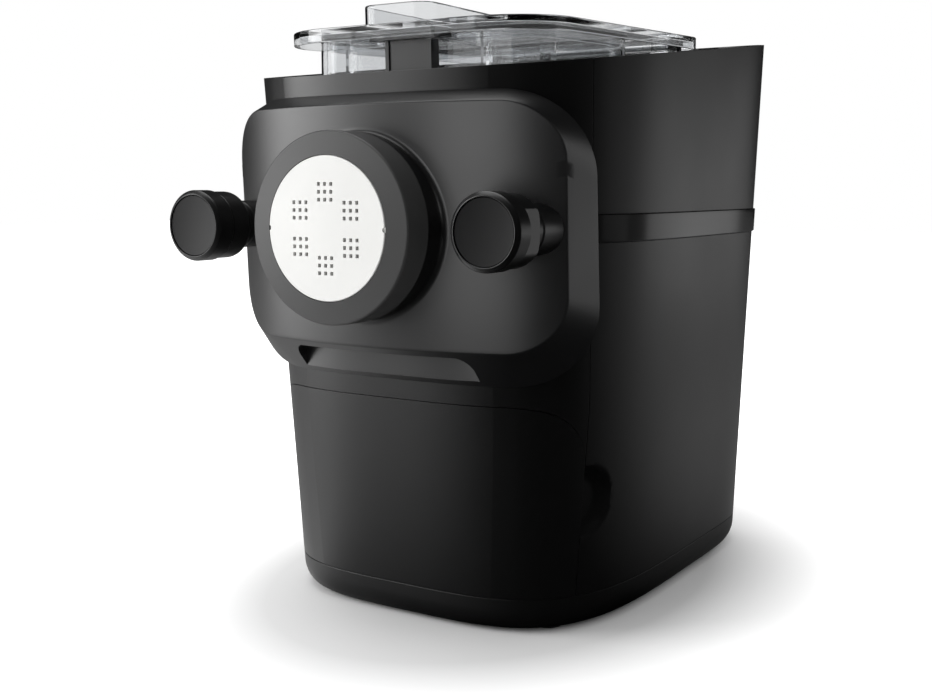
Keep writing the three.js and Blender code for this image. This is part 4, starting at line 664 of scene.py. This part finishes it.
def make_clamp_ring():
    piece("clamp_ring", "_body", lathe(RING_PROFILE, (0, AXIS), 192), "clamp_ring", "ring_grey")


def make_shaping_disc():
    disc = on_axis("shaping_disc_body", DISC_PROFILE, 192)
    circle, pitch, half, corner = DISC_HOLES.values()
    cuts = []
    for group in range(6):
        a = math.pi / 3 * group
        for k in range(9):
            x = circle * math.sin(a) + (k % 3 - 1) * pitch
            z = AXIS + circle * math.cos(a) + (k // 3 - 1) * pitch
            square = rounded(x - half, x + half, z - half, z + half, corner, steps=2)
            cuts.append(prism(square, -2, 8, "y"))
    cuts += [lathe(bar(1.3, -2, 1.1), (side * 36, AXIS), 24) for side in (-1, 1)]
    cut(disc, joined(*cuts))
    finished(disc, "front_cover", "disc_white", "shaping_disc")


def make_tube():
    tube = on_axis("extrusion_tube_body", TUBE_PROFILE, 128)
    half, lugs = LUG["half_angle"], []
    for centre in (0, 180):
        outside = arc(0, AXIS, LUG["outer"], centre - half, centre + half, 12)
        inside = arc(0, AXIS, LUG["inner"], centre + half, centre - half, 12)
        lugs.append(prism(outside + inside, LUG["front"], LUG["back"], "y"))
    add(tube, joined(*lugs))
    finished(tube, "front_cover", "base_black", "extrusion_tube")


# Knobs: recess for the cap, skirt, groove, grip with its flat, neck and stem bore
KNOB_PROFILE = (
    [(0, 4.6), (15.9, 4.6), (16.1, 4.4), (16.2, 1.5)] + arc(16.6, 1.55, 0.4, 180, 270, 3)
    + [(17.0, 1.25), (18.3, 2.3)] + arc(17.9, 3.4, 1.0, -50, 0, 4)
    + [(18.9, 12.4), (18.6, 12.9), (17.2, 12.9), (17.2, 13.8), (17.8, 13.9), (18.1, 14.3), (18.1, 25.0)]
    + arc(14.1, 25.0, 4.0, 0, 90, 8) + [(12.4, 29.0), (12.4, 36), (4.3, 36), (4.3, 8.7), (0, 8.7)]
)
KNOB_GRIP, KNOB_FLAT = (13.8, 30), 14.4
CAP_DISH = [(0, 2.6)] + [(16.1 * i / 10, 2.6 - 0.9 * (i / 10) ** 2) for i in range(1, 10)]
CAP_PROFILE = CAP_DISH + [(15.8, 1.72), (16.05, 1.9), (16.05, 4.3), (0, 4.3)]
STEM_PROFILE = [(0, 9), (3.6, 9), (4, 9.4), (4, 107), (3, 108), (0, 108)]


def make_knob(side):
    name = "left" if side < 0 else "right"
    body, centre, limit = "knob_" + name, (side * KNOB_X, AXIS), side * (KNOB_X + KNOB_FLAT)

    def flattened(x, y):
        return limit if KNOB_GRIP[0] < y < KNOB_GRIP[1] and (x - limit) * side > 0 else x

    points, faces = lathe(KNOB_PROFILE, centre, 160)
    grip = [(flattened(x, y), y, z) for x, y, z in points], faces
    piece(body, "_body", grip, body, "satin_black", sharp=28)
    piece("knob_cap_" + name, "_face", lathe(CAP_PROFILE, centre, 128), body, "base_black", material=CAP)
    piece("knob_stem_" + name, "_rod", lathe(STEM_PROFILE, centre, 32), body, "steel")


# Lid and chamber. A wall's levels are (inset, height), and the height may depend on y.
PLATE_LEVELS = [
    (1.0, LID["edge"]), (0.3, LID["edge"] - 0.3), (0, LID["edge"] - 1.0), (0, 0.5), (0.4, 0.0), (2.6, 0.0),
    (3.0, 0.5), (3.0, 3.9), (3.4, 4.3),
]
LIP_LEVELS = [(4, 5.0), (4, -1.8), (4.4, -2.2), (5.6, -2.2), (6, -1.8), (6, 5.0), (4, 5.0)]
SEAL_LEVELS = [(0, 2.4), (0, 4.0), (3.7, 4.0), (3.7, 2.4), (0, 2.4)]
RAIL_SECTION = ((21.6, -2.1), (26.6, -2.1), (26.6, 5.8), (24.2, 5.8), (24.2, -0.7), (21.6, -0.7))
RAIL_SPAN = (57.6, 80.2)
POUR_SLOTS = {"half": 12, "front": (91, 110, 129), "length": 12}
LATCH_PLATE = (-23.5, 23.5, 68.5, 80.2, 2.6)
LATCH_TONGUE = (-15, 15, 73.5, 80.1, -17.8, 0.9)
LATCH_STOPS = [(*x, 72.6, 74.5, -17.7, 0.5) for x in ((-14.9, -12.6), (12.6, 14.9))]


def ring_wall(outline, levels):
    """Rows of a wall that follows an outline, one for each level."""
    rows = []
    for inset, level in levels:
        at = level if callable(level) else (lambda y, z=level: z)
        rows.append([(x, y, at(y)) for x, y in outline(inset)])
    return rows


def lid_outline(inset):
    x, front, rear = LID["half"] - inset, LID["front_radius"] - inset, LID["rear_radius"] - inset
    return rounded(-x, x, LID["front"] + inset, LID["rear"] - inset, front, rear, 24)


def inset_outline(size, inset, steps):
    x = size["half"] - inset
    return rounded(-x, x, size["front"] + inset, size["rear"] - inset, size["radius"] - inset, steps=steps)


def pour_outline(inset):
    return inset_outline(POUR, inset, 16)


def chamber_outline(inset, steps=14):
    return inset_outline(CHAMBER, inset, steps)


def pour_top(drop):
    """The pour wall's level top on the sloping lid."""
    return lambda y: LID["edge"] + POUR["height"] - LID_TILT * (y - POUR["front"]) - drop


def make_lid():
    edge, wall, foot = LID["edge"], POUR["wall"], LID["edge"] - 1.5
    lid = mesh_from("lid_plate", *on_lid(capped(ring_wall(lid_outline, PLATE_LEVELS))))
    pour = [(0, foot), (0, pour_top(0.5)), (0.4, pour_top(0)), (wall - 0.4, pour_top(0)), (wall, pour_top(0.5))]
    pour += [(wall, foot), (0, foot)]
    for outline, levels in ((pour_outline, pour), (chamber_outline, LIP_LEVELS)):
        add(lid, on_lid(grid(ring_wall(outline, levels), wrap=True)))
    half, length = POUR_SLOTS["half"], POUR_SLOTS["length"]
    slots = [block(-half, half, y, y + length, -4, 12) for y in POUR_SLOTS["front"]]
    cut(lid, on_lid(joined(*slots)))
    rails = [prism([(side * x, z) for x, z in RAIL_SECTION], *RAIL_SPAN, "y") for side in (-1, 1)]
    y, rise, radius = HINGE["y"], HINGE["rise"], HINGE["radius"]
    root = LID["rear"] - 1.5
    ear = [(root, rise - radius), (y, rise - radius)] + arc(y, rise, radius, -90, 90, 24) + [(root, edge - 0.2)]
    ears = [prism(ear, *x, "x") for x in spans(HINGE["x"], HINGE["x"] + HINGE["width"])]
    add(lid, *[on_lid(part) for part in rails + ears])
    cut(lid, on_lid(prism(round_hole(y, rise, HINGE["bore"]), -70, 70, "x")))
    finished(lid, "lid", "clear_smoky", "lid", sharp=30)


def make_lid_latch():
    latch = mesh_from("lid_latch_body", *on_lid(prism(rounded(*LATCH_PLATE, steps=6), -0.4, 2.2)))
    add(latch, *[on_lid(block(*sides)) for sides in [LATCH_TONGUE] + LATCH_STOPS])
    bevelled(latch, 0.5)
    finished(latch, "lid_latch", "satin_black", "lid_latch")


def make_chamber():
    wall, flare, top = CHAMBER["wall"], CHAMBER["flare"], CHAMBER["top"]
    front, rear = CHAMBER["front"], CHAMBER["rear"]

    def profile(inset):
        r, x = CHAMBER["trough"] - inset, CHAMBER["half"] - inset
        return arc(0, AXIS, r, 180, 360, 48) + [(x, flare), (x, top), (-x, top), (-x, flare)]

    vessel = mesh_from("mixing_chamber_body", *prism(profile(0), front, rear, "y"))
    boolean(vessel, "INTERSECT", prism(chamber_outline(0), 150, 350))
    add(vessel, *[block(-36, 36, y, y + 12, 144.6, 170) for y in (94, 173.9)])
    hollow = mesh_from("hollow", *prism(profile(wall), front + wall, rear - wall, "y"))
    boolean(hollow, "INTERSECT", prism(chamber_outline(wall), 140, 360))
    combined(vessel, "DIFFERENCE", hollow)
    deck = rim_at(front) - DECK_DROP + 0.3
    add(vessel, *[block(x - 1.5, x + 1.5, front - 3, front + 1.5, deck, top) for x in (-44, 44)])
    mouth = LID_HEIGHT + 2.1
    above = [(0, mouth), (BEYOND, mouth + BEYOND * LID_TILT), (BEYOND, 500), (0, 500)]
    cut(vessel, prism(above, -120, 120, "x"))
    for radius, y, segments in ((TUBE_BORE, front, 96), (SHAFT_BORE, rear, 48)):
        cut(vessel, lathe(bar(radius, y - 8, y + 6), (0, AXIS), segments))
    finished(vessel, "housing", "clear_smoky", "mixing_chamber", sharp=30)


def make_seal():
    ring = grid(ring_wall(chamber_outline, SEAL_LEVELS), wrap=True)
    piece("lid_seal", "_ring", on_lid(ring), "lid", "seal_rubber")


def hinge_axis():
    """The hinge pin's (y, z)."""
    points, _ = on_lid(([(0.0, HINGE["y"], HINGE["rise"])], []))
    return points[0][1:]


def make_hinge_pin():
    y, z = hinge_axis()
    ends = [(0.0, -66), (1.6, -66), (2.0, -65.6), (2.0, 65.6), (1.6, 66), (0.0, 66)]
    points, faces = lathe(ends, (0, 0), 32)
    piece("lid_hinge_pin", "_rod", ([(v, y + u, z + w) for u, v, w in points], faces), "housing", "steel")


# Deck and control panel, both parallel to the rim
def rim_slab(name, inset, upper, lower, front=0.0, count=300):
    """The space inside the housing between two planes under the rim, behind a given depth."""
    rows = []
    for drop in (lower, upper):
        places = [(t, rim_for(lambda z, t=t: t, inset, drop)) for t in full_turn(RIM_HEIGHT, count)]
        rows.append([on_housing(t, z, inset) for t, z in places])
    slab = mesh_from(name, *capped(rows))
    if front:
        cut(slab, block(-150, 150, 0, front, 200, BEYOND))
    return slab


def make_top_deck():
    deck = rim_slab("top_deck_plate", WALL + 0.4, DECK_DROP, DECK_DROP + DECK_THICKNESS)
    cut(deck, prism(chamber_outline(-0.8, 20), 200, BEYOND))
    y, z = hinge_axis()
    radius, bore, width, inner = 4.4, 2.4, 6, HINGE["x"] + HINGE["width"] + 0.3
    foot = rim_at(y) - DECK_DROP - DECK_THICKNESS / 2
    for x0, x1 in spans(inner, inner + width):
        outline = [(y - radius, foot), (y + radius, foot)] + arc(y, z, radius, 0, 180, 24)
        add(deck, prism(outline, x0, x1, "x"))
        cut(deck, prism(round_hole(y, z, bore), x0 - 1, x1 + 1, "x"))
    bevelled(deck, 0.4, angle=60)
    finished(deck, "housing", "base_black", "top_deck")


def on_panel(part, x=0.0):
    """Moves a part made about the origin onto the sloping panel."""
    return sloped(part, RIM_SLOPE, x, PANEL_MIDDLE, rim_at(PANEL_MIDDLE) - PANEL_DROP)


WINDOW = {"x": 38, "y": 11, "radius": 4, "room": 0.3, "recess": -1.8}
WINDOW_LEVELS = [(0.8, -0.075), (0.2, -0.25), (0, -0.6), (0, -1.5)]
KEY_PROFILE = [(0, -4.0), (3, -4.0), (3, -3.5), (7.6, -3.5), (7.6, -2.5), (6.5, -2.5), (6.5, 0.4)]
KEY_PROFILE += arc(6.0, 0.4, 0.5, 0, 90, 4)[1:] + [(3.0, 0.75), (0, 0.7)]
KEY_HOLE = bar(6.8, -8, 4)


def window_outline(inset, steps=10):
    x, y = WINDOW["x"] - inset, WINDOW["y"] - inset
    return rounded(-x, x, -y, y, WINDOW["radius"] - inset, steps=steps)


def make_control_panel():
    inset, plate = WALL + 0.8, PANEL_PLATE
    panel = rim_slab("control_panel_plate", inset, PANEL_DROP, DECK_DROP - 0.3, PANEL_FRONT)
    inside = rim_slab("inside", inset + plate, PANEL_DROP + plate, DECK_DROP + 4, PANEL_FRONT + plate)
    combined(panel, "DIFFERENCE", inside)
    for x in BUTTONS.values():
        cut(panel, on_panel(upright_lathe(KEY_HOLE, 48), x))
    cut(panel, on_panel(prism(window_outline(-WINDOW["room"], 12), WINDOW["recess"], 4)))
    bevelled(panel, 0.4, angle=50)
    finished(panel, "housing", "base_black", "control_panel")


def make_panel_pieces():
    window = on_panel(capped(ring_wall(window_outline, WINDOW_LEVELS)))
    piece("display_window", "_glass", window, "housing", "gloss_black")
    for name, x in BUTTONS.items():
        piece(name, "_cap", on_panel(upright_lathe(KEY_PROFILE), x), name, "gloss_black")


# Feet, screws, drawer tray and spare disc
FOOT_PROFILE = [(0, 0), (8.2, 0), (8.9, 0.7), (9, 1.2), (9, 2.6), (0, 2.6)]
SCREW_PROFILE = [
    (0, 2.3), (1.6, 2.3), (1.6, 1.5), (3.2, 1.5), (3.6, 1.9), (3.6, 3.7), (1.8, 3.7), (1.8, 17.5), (0, 17.5),
]
TRAY = {"half": 78, "front": 82, "rear": 198.9, "radius": 6}
TRAY_LEVELS = [(1.5, 26), (0.4, 26.6), (0, 28), (0, 111.4), (0.5, 112), (1.5, 112), (2, 111.4), (2, 29.6), (3.6, 28)]
TRAY_RAILS = [(*x, 90, 196, 64.3, 66.8) for x in ((-81.5, -77.5), (77.5, 81.5))]
SPARE_PROFILE = [(0, 0), (38.5, 0), (38.8, 0.3), (38.8, 3.7), (36, 3.7), (36, 5.7), (35.7, 6), (0, 6)]
SPARE_PLACE = (-36.2, 140.44, 28.3)
SPARE_SLOT = (-7.5, 7.5, 20, 22, 0.9)


def make_feet():
    for name, (x, y) in FEET.items():
        piece("foot_" + name, "_pad", moved(upright_lathe(FOOT_PROFILE), x, y), "housing", "foot_rubber")
    for i, (x, y) in enumerate(SCREWS, 1):
        shank = moved(upright_lathe(SCREW_PROFILE, 32), x, y)
        piece("base_screw_%d" % i, "_shank", shank, "housing", "steel")


def tray_outline(inset):
    x, radius = TRAY["half"] - inset, TRAY["radius"] - min(inset, TRAY["radius"] / 2)
    return rounded(-x, x, TRAY["front"] + inset, TRAY["rear"] - inset, radius, steps=10)


def make_tray():
    tray = mesh_from("drawer_tray_box", *capped(ring_wall(tray_outline, TRAY_LEVELS)))
    add(tray, *[block(*sides) for sides in TRAY_RAILS])
    finished(tray, "drawer", "inner_grey", "drawer_tray")


def make_spare_disc():
    disc = mesh_from("spare_disc_body", *moved(upright_lathe(SPARE_PROFILE, 128), *SPARE_PLACE))
    slot = rounded(*SPARE_SLOT, steps=6)
    for i in range(6):
        c, s = math.cos(math.pi / 3 * i), math.sin(math.pi / 3 * i)
        shape = [(SPARE_PLACE[0] + u * c - v * s, SPARE_PLACE[1] + u * s + v * c) for u, v in slot]
        cut(disc, prism(shape, 20, 40))
    finished(disc, "drawer", "disc_white", "spare_disc")


# Screw and paddle
CORE_PROFILE = [(0, 13)] + arc(0, 25, 12, -90, 0, 10)[1:] + [(12, 87), (6.3, 87), (6.3, 73), (0, 73)]
FLIGHT = ((9.6, -3), (22, -2.1), (31.4, -1.5), (32, -0.9), (32, 0.9), (31.4, 1.5), (22, 2.1), (9.6, 3))
HUB_PROFILE = [(6.3, 88), (10.4, 88), (11, 88.6), (11, 193.4), (10.4, 194), (6.3, 194), (6.3, 88)]


def make_screw():
    core = on_axis("extrusion_screw_body", CORE_PROFILE, 96)
    front, back, turns, pitch, steps = 13, 87, 2.5, 27.0, 150
    root = FLIGHT[-1][1]
    length = pitch * turns - 2 * root
    start = (front + back - pitch * turns) / 2 + root
    rows = []
    for i in range(steps + 1):
        a, y = 2 * math.pi * turns * i / steps, start + length * i / steps
        rows.append([(r * math.cos(a), y + d, AXIS + r * math.sin(a)) for r, d in FLIGHT])
    add(core, capped(rows))
    finished(core, "drive", "base_black", "extrusion_screw")


def make_paddle():
    hub = on_axis("stirring_paddle_body", HUB_PROFILE, 64)
    for i in range(3):
        y, a = 103 + 37.9 * i, 2 * math.pi * i / 3
        c, s = math.cos(a), math.sin(a)
        arm, blade = block(-4, 4, y - 5.5, y + 5.5, 5.5, 47), block(-3, 3, y - 15, y + 15, 38, 50)
        for points, faces in (arm, blade):
            add(hub, ([(x * c + z * s, v, AXIS - x * s + z * c) for x, v, z in points], faces))
    bevelled(hub, 0.8, angle=40)
    finished(hub, "drive", "inner_grey", "stirring_paddle")


# Materials
GRAIN_SCALE, GRAIN_DEPTH = 2600.0, 0.0002
CLEAR_INDEX, CLEAR_COAT = 1.12, 0.7


def new_material(name):
    material = bpy.data.materials.new(name)
    material.use_nodes = True
    return material, material.node_tree, material.node_tree.nodes["Principled BSDF"]


def wired(tree, kind, inputs, **settings):
    """A new node with its settings, and its inputs set to values or wired from outputs."""
    node = tree.nodes.new(kind)
    for key, value in settings.items():
        setattr(node, key, value)
    for socket, source in inputs.items():
        if isinstance(source, bpy.types.NodeSocket):
            tree.links.new(source, node.inputs[socket])
        else:
            node.inputs[socket].default_value = source
    return node


def object_coords(tree):
    return wired(tree, "ShaderNodeTexCoord", {}).outputs["Object"]


def noise(tree, scale, detail):
    inputs = {"Scale": scale, "Detail": detail, "Roughness": 0.5, "Vector": object_coords(tree)}
    return wired(tree, "ShaderNodeTexNoise", inputs).outputs["Fac"]


def ramp(tree, source, low, high):
    """A colour ramp between two stops given as (position, colour)."""
    node = wired(tree, "ShaderNodeValToRGB", {"Fac": source})
    for stop, (position, colour) in zip(node.color_ramp.elements, (low, high)):
        stop.position, stop.color = position, colour
    return node.outputs["Color"]


def grey(value):
    return (value, value, value, 1.0)


def tinted(colour, share):
    return (*[min(1.0, c * share) for c in colour], 1)


def plastic(name, colour, roughness, spread=0.03, grain=0.02, specular=0.5):
    """Moulded plastic: a fine grain, slow variation in gloss and a slight variation in tone."""
    material, tree, shader = new_material(name)
    shader.inputs["Specular IOR Level"].default_value = specular
    slow = noise(tree, 9.0, 3.0)
    tone = ramp(tree, slow, (0.35, tinted(colour, 0.94)), (0.65, tinted(colour, 1.06)))
    gloss = ramp(tree, slow, (0.3, grey(roughness - spread)), (0.7, grey(roughness + spread)))
    height = {"Strength": grain, "Distance": GRAIN_DEPTH, "Height": noise(tree, GRAIN_SCALE, 2.0)}
    bump = wired(tree, "ShaderNodeBump", height)
    tree.links.new(tone, shader.inputs["Base Color"])
    tree.links.new(gloss, shader.inputs["Roughness"])
    tree.links.new(bump.outputs["Normal"], shader.inputs["Normal"])
    return material


def clear_plastic(name, colour, roughness):
    """Clear plastic with faint smears and a clear coat that carries the highlights."""
    material, tree, shader = new_material(name)
    shader.inputs["Transmission Weight"].default_value = 1.0
    shader.inputs["IOR"].default_value = CLEAR_INDEX
    shader.inputs["Coat Weight"].default_value = CLEAR_COAT
    shader.inputs["Coat Roughness"].default_value = roughness
    shader.inputs["Base Color"].default_value = (*colour, 1)
    gloss = ramp(tree, noise(tree, 30.0, 3.0), (0.4, grey(roughness)), (0.75, grey(roughness * 2)))
    tree.links.new(gloss, shader.inputs["Roughness"])
    return material


def steel(name, colour, roughness):
    """Drawn steel with fine streaks."""
    material, tree, shader = new_material(name)
    shader.inputs["Metallic"].default_value = 1.0
    streaks = noise(tree, 300.0, 3.0)
    gloss = ramp(tree, streaks, (0.3, grey(roughness - 0.07)), (0.7, grey(roughness + 0.1)))
    tone = ramp(tree, streaks, (0.2, tinted(colour, 0.9)), (0.8, tinted(colour, 1.0)))
    tree.links.new(gloss, shader.inputs["Roughness"])
    tree.links.new(tone, shader.inputs["Base Color"])
    return material


BLACK = (0.003, 0.003, 0.0032)
SATIN = plastic("satin_black", BLACK, 0.36)
MATT = plastic("matt_black", BLACK, 0.45)
GLOSS = plastic("gloss_black", (0.004, 0.004, 0.004), 0.14, spread=0.02, grain=0.0, specular=0.18)
RING = plastic("ring_grey", (0.032, 0.032, 0.032), 0.5)
WHITE = plastic("disc_white", (0.64, 0.64, 0.625), 0.35)
CAP = plastic("cap_black", BLACK, 0.4, specular=0.17)
INNER = plastic("inner_grey", (0.35, 0.36, 0.38), 0.45)
NYLON = plastic("gear_nylon", (0.68, 0.66, 0.58), 0.4)
BOARD = plastic("board_green", (0.03, 0.14, 0.07), 0.35)
RUBBER = plastic("rubber", (0.02, 0.02, 0.02), 0.75)
METAL = steel("steel", (0.6, 0.61, 0.62), 0.3)
CLEAR = clear_plastic("clear_smoky", (0.74, 0.75, 0.76), 0.03)

SLOT_MATERIALS = {
    "satin_black": SATIN, "base_black": MATT, "gloss_black": GLOSS, "ring_grey": RING,
    "disc_white": WHITE, "clear_smoky": CLEAR, "inner_grey": INNER, "gear_nylon": NYLON,
    "board_green": BOARD, "steel": METAL, "foot_rubber": RUBBER, "seal_rubber": RUBBER,
}


def dress_nodes():
    """Gives every carried-over node its procedural material."""
    slots = {s["node"]: s["material_slot"] for s in frame["record"]["subparts"]}
    for name, node in frame["nodes"].items():
        node.data.materials.clear()
        node.data.materials.append(SLOT_MATERIALS[slots[name]])


# Studio
FLOOR_HALF, FLOOR_TONE = 6.0, 0.8
# The floor's own light starts outside an ellipse round the foot and is full further out, so the floor round the foot
# is darker: painted shade, on top of the lamps' real shadow there
FLOOR_FOOT = (0.13, 0.18, 1.0)
FLOOR_FADE = (0.95, 1.9)
# Painted reflection: the floor's tone as reflections see it, by direction from the front (degrees, towards the right
# positive)
PAINTED_REFLECTION_GAIN = 2.0
FLOOR_PAINTED_REFLECTION = (
    (-90, 0.4), (-60, 0.8), (-44, 1.1), (-28, 0.4), (0, 0.08), (25, 0.0), (80, 0.0), (115, 0.14), (152, 0.42),
    (178, 0.14),
)
WORLD_SEEN, WORLD_DIFFUSE, WORLD_GLOSSY = 1.0, 0.6, 0.02
# Lights: name, place and aim in metres, size in metres, watts
MACHINE = (0, 0, 0.2)
LIGHTS = (
    ("left_softbox", (-1.30, -1.01, 0.6), MACHINE, (0.8, 1.4), 21),
    ("front_panel", (-0.63, -1.36, 0.55), MACHINE, (0.75, 0.9), 2.6),
    ("rear_panel", (0.93, 1.54, 0.22), MACHINE, (0.6, 0.45), 0.9),
    ("rear_fill", (1.32, 0.70, 0.30), MACHINE, (0.5, 0.6), 0.25),
    ("top_softbox", (-0.3, -0.1, 1.6), MACHINE, (1.2, 1.2), 14),
)
COVER_LIGHTS = (
    ("cover_panel", (0.11, -0.80, 0.27), (0.11, 0, 0.22), (0.46, 0.52), 2.5),
    ("cover_side", (-0.77, -0.39, 0.27), (0, -0.13, 0.22), (0.25, 0.5), 1.1),
    ("cover_strip", (0.85, -0.07, 0.27), (0.1, -0.1, 0.22), (0.22, 0.5), 1.0),
)


def path_share(tree, *rays):
    """One where any of the named light path rays arrives."""
    path = wired(tree, "ShaderNodeLightPath", {})
    total = path.outputs[rays[0]]
    for ray in rays[1:]:
        total = wired(tree, "ShaderNodeMath", {0: total, 1: path.outputs[ray]}, operation="MAXIMUM").outputs[0]
    return total


def floor_glow_and_foot_shade(tree, coords):
    """The floor's own light, which the camera and clear plastic see away from the foot; leaving it out round the
    foot paints shade there.
    """
    share = wired(tree, "ShaderNodeVectorMath", {0: coords, 1: FLOOR_FOOT}, operation="DIVIDE")
    away = wired(tree, "ShaderNodeVectorMath", {0: share.outputs["Vector"]}, operation="LENGTH")
    fade = {"From Min": FLOOR_FADE[0], "From Max": FLOOR_FADE[1], "Value": away.outputs["Value"]}
    far = wired(tree, "ShaderNodeMapRange", fade).outputs["Result"]
    seen = path_share(tree, "Is Camera Ray", "Is Transmission Ray")
    return wired(tree, "ShaderNodeMath", {0: seen, 1: far}, operation="MULTIPLY").outputs[0]


def floor_painted_reflection(tree, coords):
    """Painted reflection: the floor's tone in reflections, a ramp round the machine."""
    radial = wired(tree, "ShaderNodeTexGradient", {"Vector": coords}, gradient_type="RADIAL")
    reflection_ramp = wired(tree, "ShaderNodeValToRGB", {"Fac": radial.outputs["Fac"]})
    stops = reflection_ramp.color_ramp.elements
    for i, (azimuth, reflected_tone) in enumerate(FLOOR_PAINTED_REFLECTION):
        at = (azimuth + 90) / 360
        stop = stops[0] if i == 0 else stops.new(at)
        stop.position, stop.color = at, grey(reflected_tone / PAINTED_REFLECTION_GAIN)
    stops[-1].color = grey(FLOOR_PAINTED_REFLECTION[0][1] / PAINTED_REFLECTION_GAIN)
    gain = {0: reflection_ramp.outputs["Color"], "Scale": PAINTED_REFLECTION_GAIN}
    return wired(tree, "ShaderNodeVectorMath", gain, operation="SCALE").outputs["Vector"]


def make_floor():
    """A white table with a painted reflection: reflections of it fade to black towards the right front, in place of
    a dark screen.
    """
    mesh = bpy.data.meshes.new("floor")
    h = FLOOR_HALF
    mesh.from_pydata([(-h, -h, 0), (h, -h, 0), (h, h, 0), (-h, h, 0)], [], [(0, 1, 2, 3)])
    material, tree, shader = new_material("floor_white")
    shader.inputs["Roughness"].default_value = 0.9
    shader.inputs["Specular IOR Level"].default_value = 0.0
    shader.inputs["Emission Color"].default_value = (1, 1, 1, 1)
    coords = object_coords(tree)
    # Emission left out round the foot: painted shade there
    tree.links.new(floor_glow_and_foot_shade(tree, coords), shader.inputs["Emission Strength"])
    # Glossy rays see the painted reflection in place of the floor's own tone
    tones = {"Factor": path_share(tree, "Is Glossy Ray"), "A": grey(FLOOR_TONE), "B": floor_painted_reflection(tree, coords)}
    mix = wired(tree, "ShaderNodeMix", tones, data_type="RGBA")
    tree.links.new(mix.outputs["Result"], shader.inputs["Base Color"])
    mesh.materials.append(material)
    link("floor", mesh)


def make_world():
    world = bpy.data.worlds.new("studio")
    world.use_nodes = True
    tree = world.node_tree
    glossy = {"Value": path_share(tree, "Is Glossy Ray"), "To Min": WORLD_DIFFUSE, "To Max": WORLD_GLOSSY}
    dim = wired(tree, "ShaderNodeMapRange", glossy).outputs["Result"]
    seen = path_share(tree, "Is Camera Ray", "Is Transmission Ray")
    mix = wired(tree, "ShaderNodeMapRange", {"Value": seen, "To Min": dim, "To Max": WORLD_SEEN})
    background = tree.nodes["Background"]
    background.inputs["Color"].default_value = (1, 1, 1, 1)
    tree.links.new(mix.outputs["Result"], background.inputs["Strength"])
    bpy.context.scene.world = world


def softbox(name, place_m, aim_m, size, watts, only=()):
    """An area light; with only, it lights just those objects."""
    data = bpy.data.lights.new(name, "AREA")
    data.shape = "RECTANGLE"
    data.size, data.size_y = size
    data.energy = watts
    lamp = link(name, data)
    lamp.location = place_m
    lamp.rotation_euler = (Vector(aim_m) - Vector(place_m)).to_track_quat("-Z", "Y").to_euler()
    if only:
        group = bpy.data.collections.new(name + "_on")
        for obj in only:
            group.objects.link(obj)
        lamp.light_linking.receiver_collection = group


def make_studio():
    make_floor()
    make_world()
    for light in LIGHTS:
        softbox(*light)
    bpy.context.scene.view_settings.view_transform = "Standard"


def light_cover(cover):
    """The cover has three lights of its own, because its bevels face where the housing stays dark."""
    for light in COVER_LIGHTS:
        softbox(*light, only=[cover])


make_camera()
make_studio()
dress_nodes()
make_base()
make_body_shell()
make_front_shell()
make_drawer_front()
make_trim_band()
light_cover(make_front_cover())
make_clamp_ring()
make_shaping_disc()
make_tube()
make_knob(-1)
make_knob(1)
make_lid()
make_lid_latch()
make_chamber()
make_seal()
make_hinge_pin()
make_top_deck()
make_control_panel()
make_panel_pieces()
make_feet()
make_tray()
make_spare_disc()
make_screw()
make_paddle()
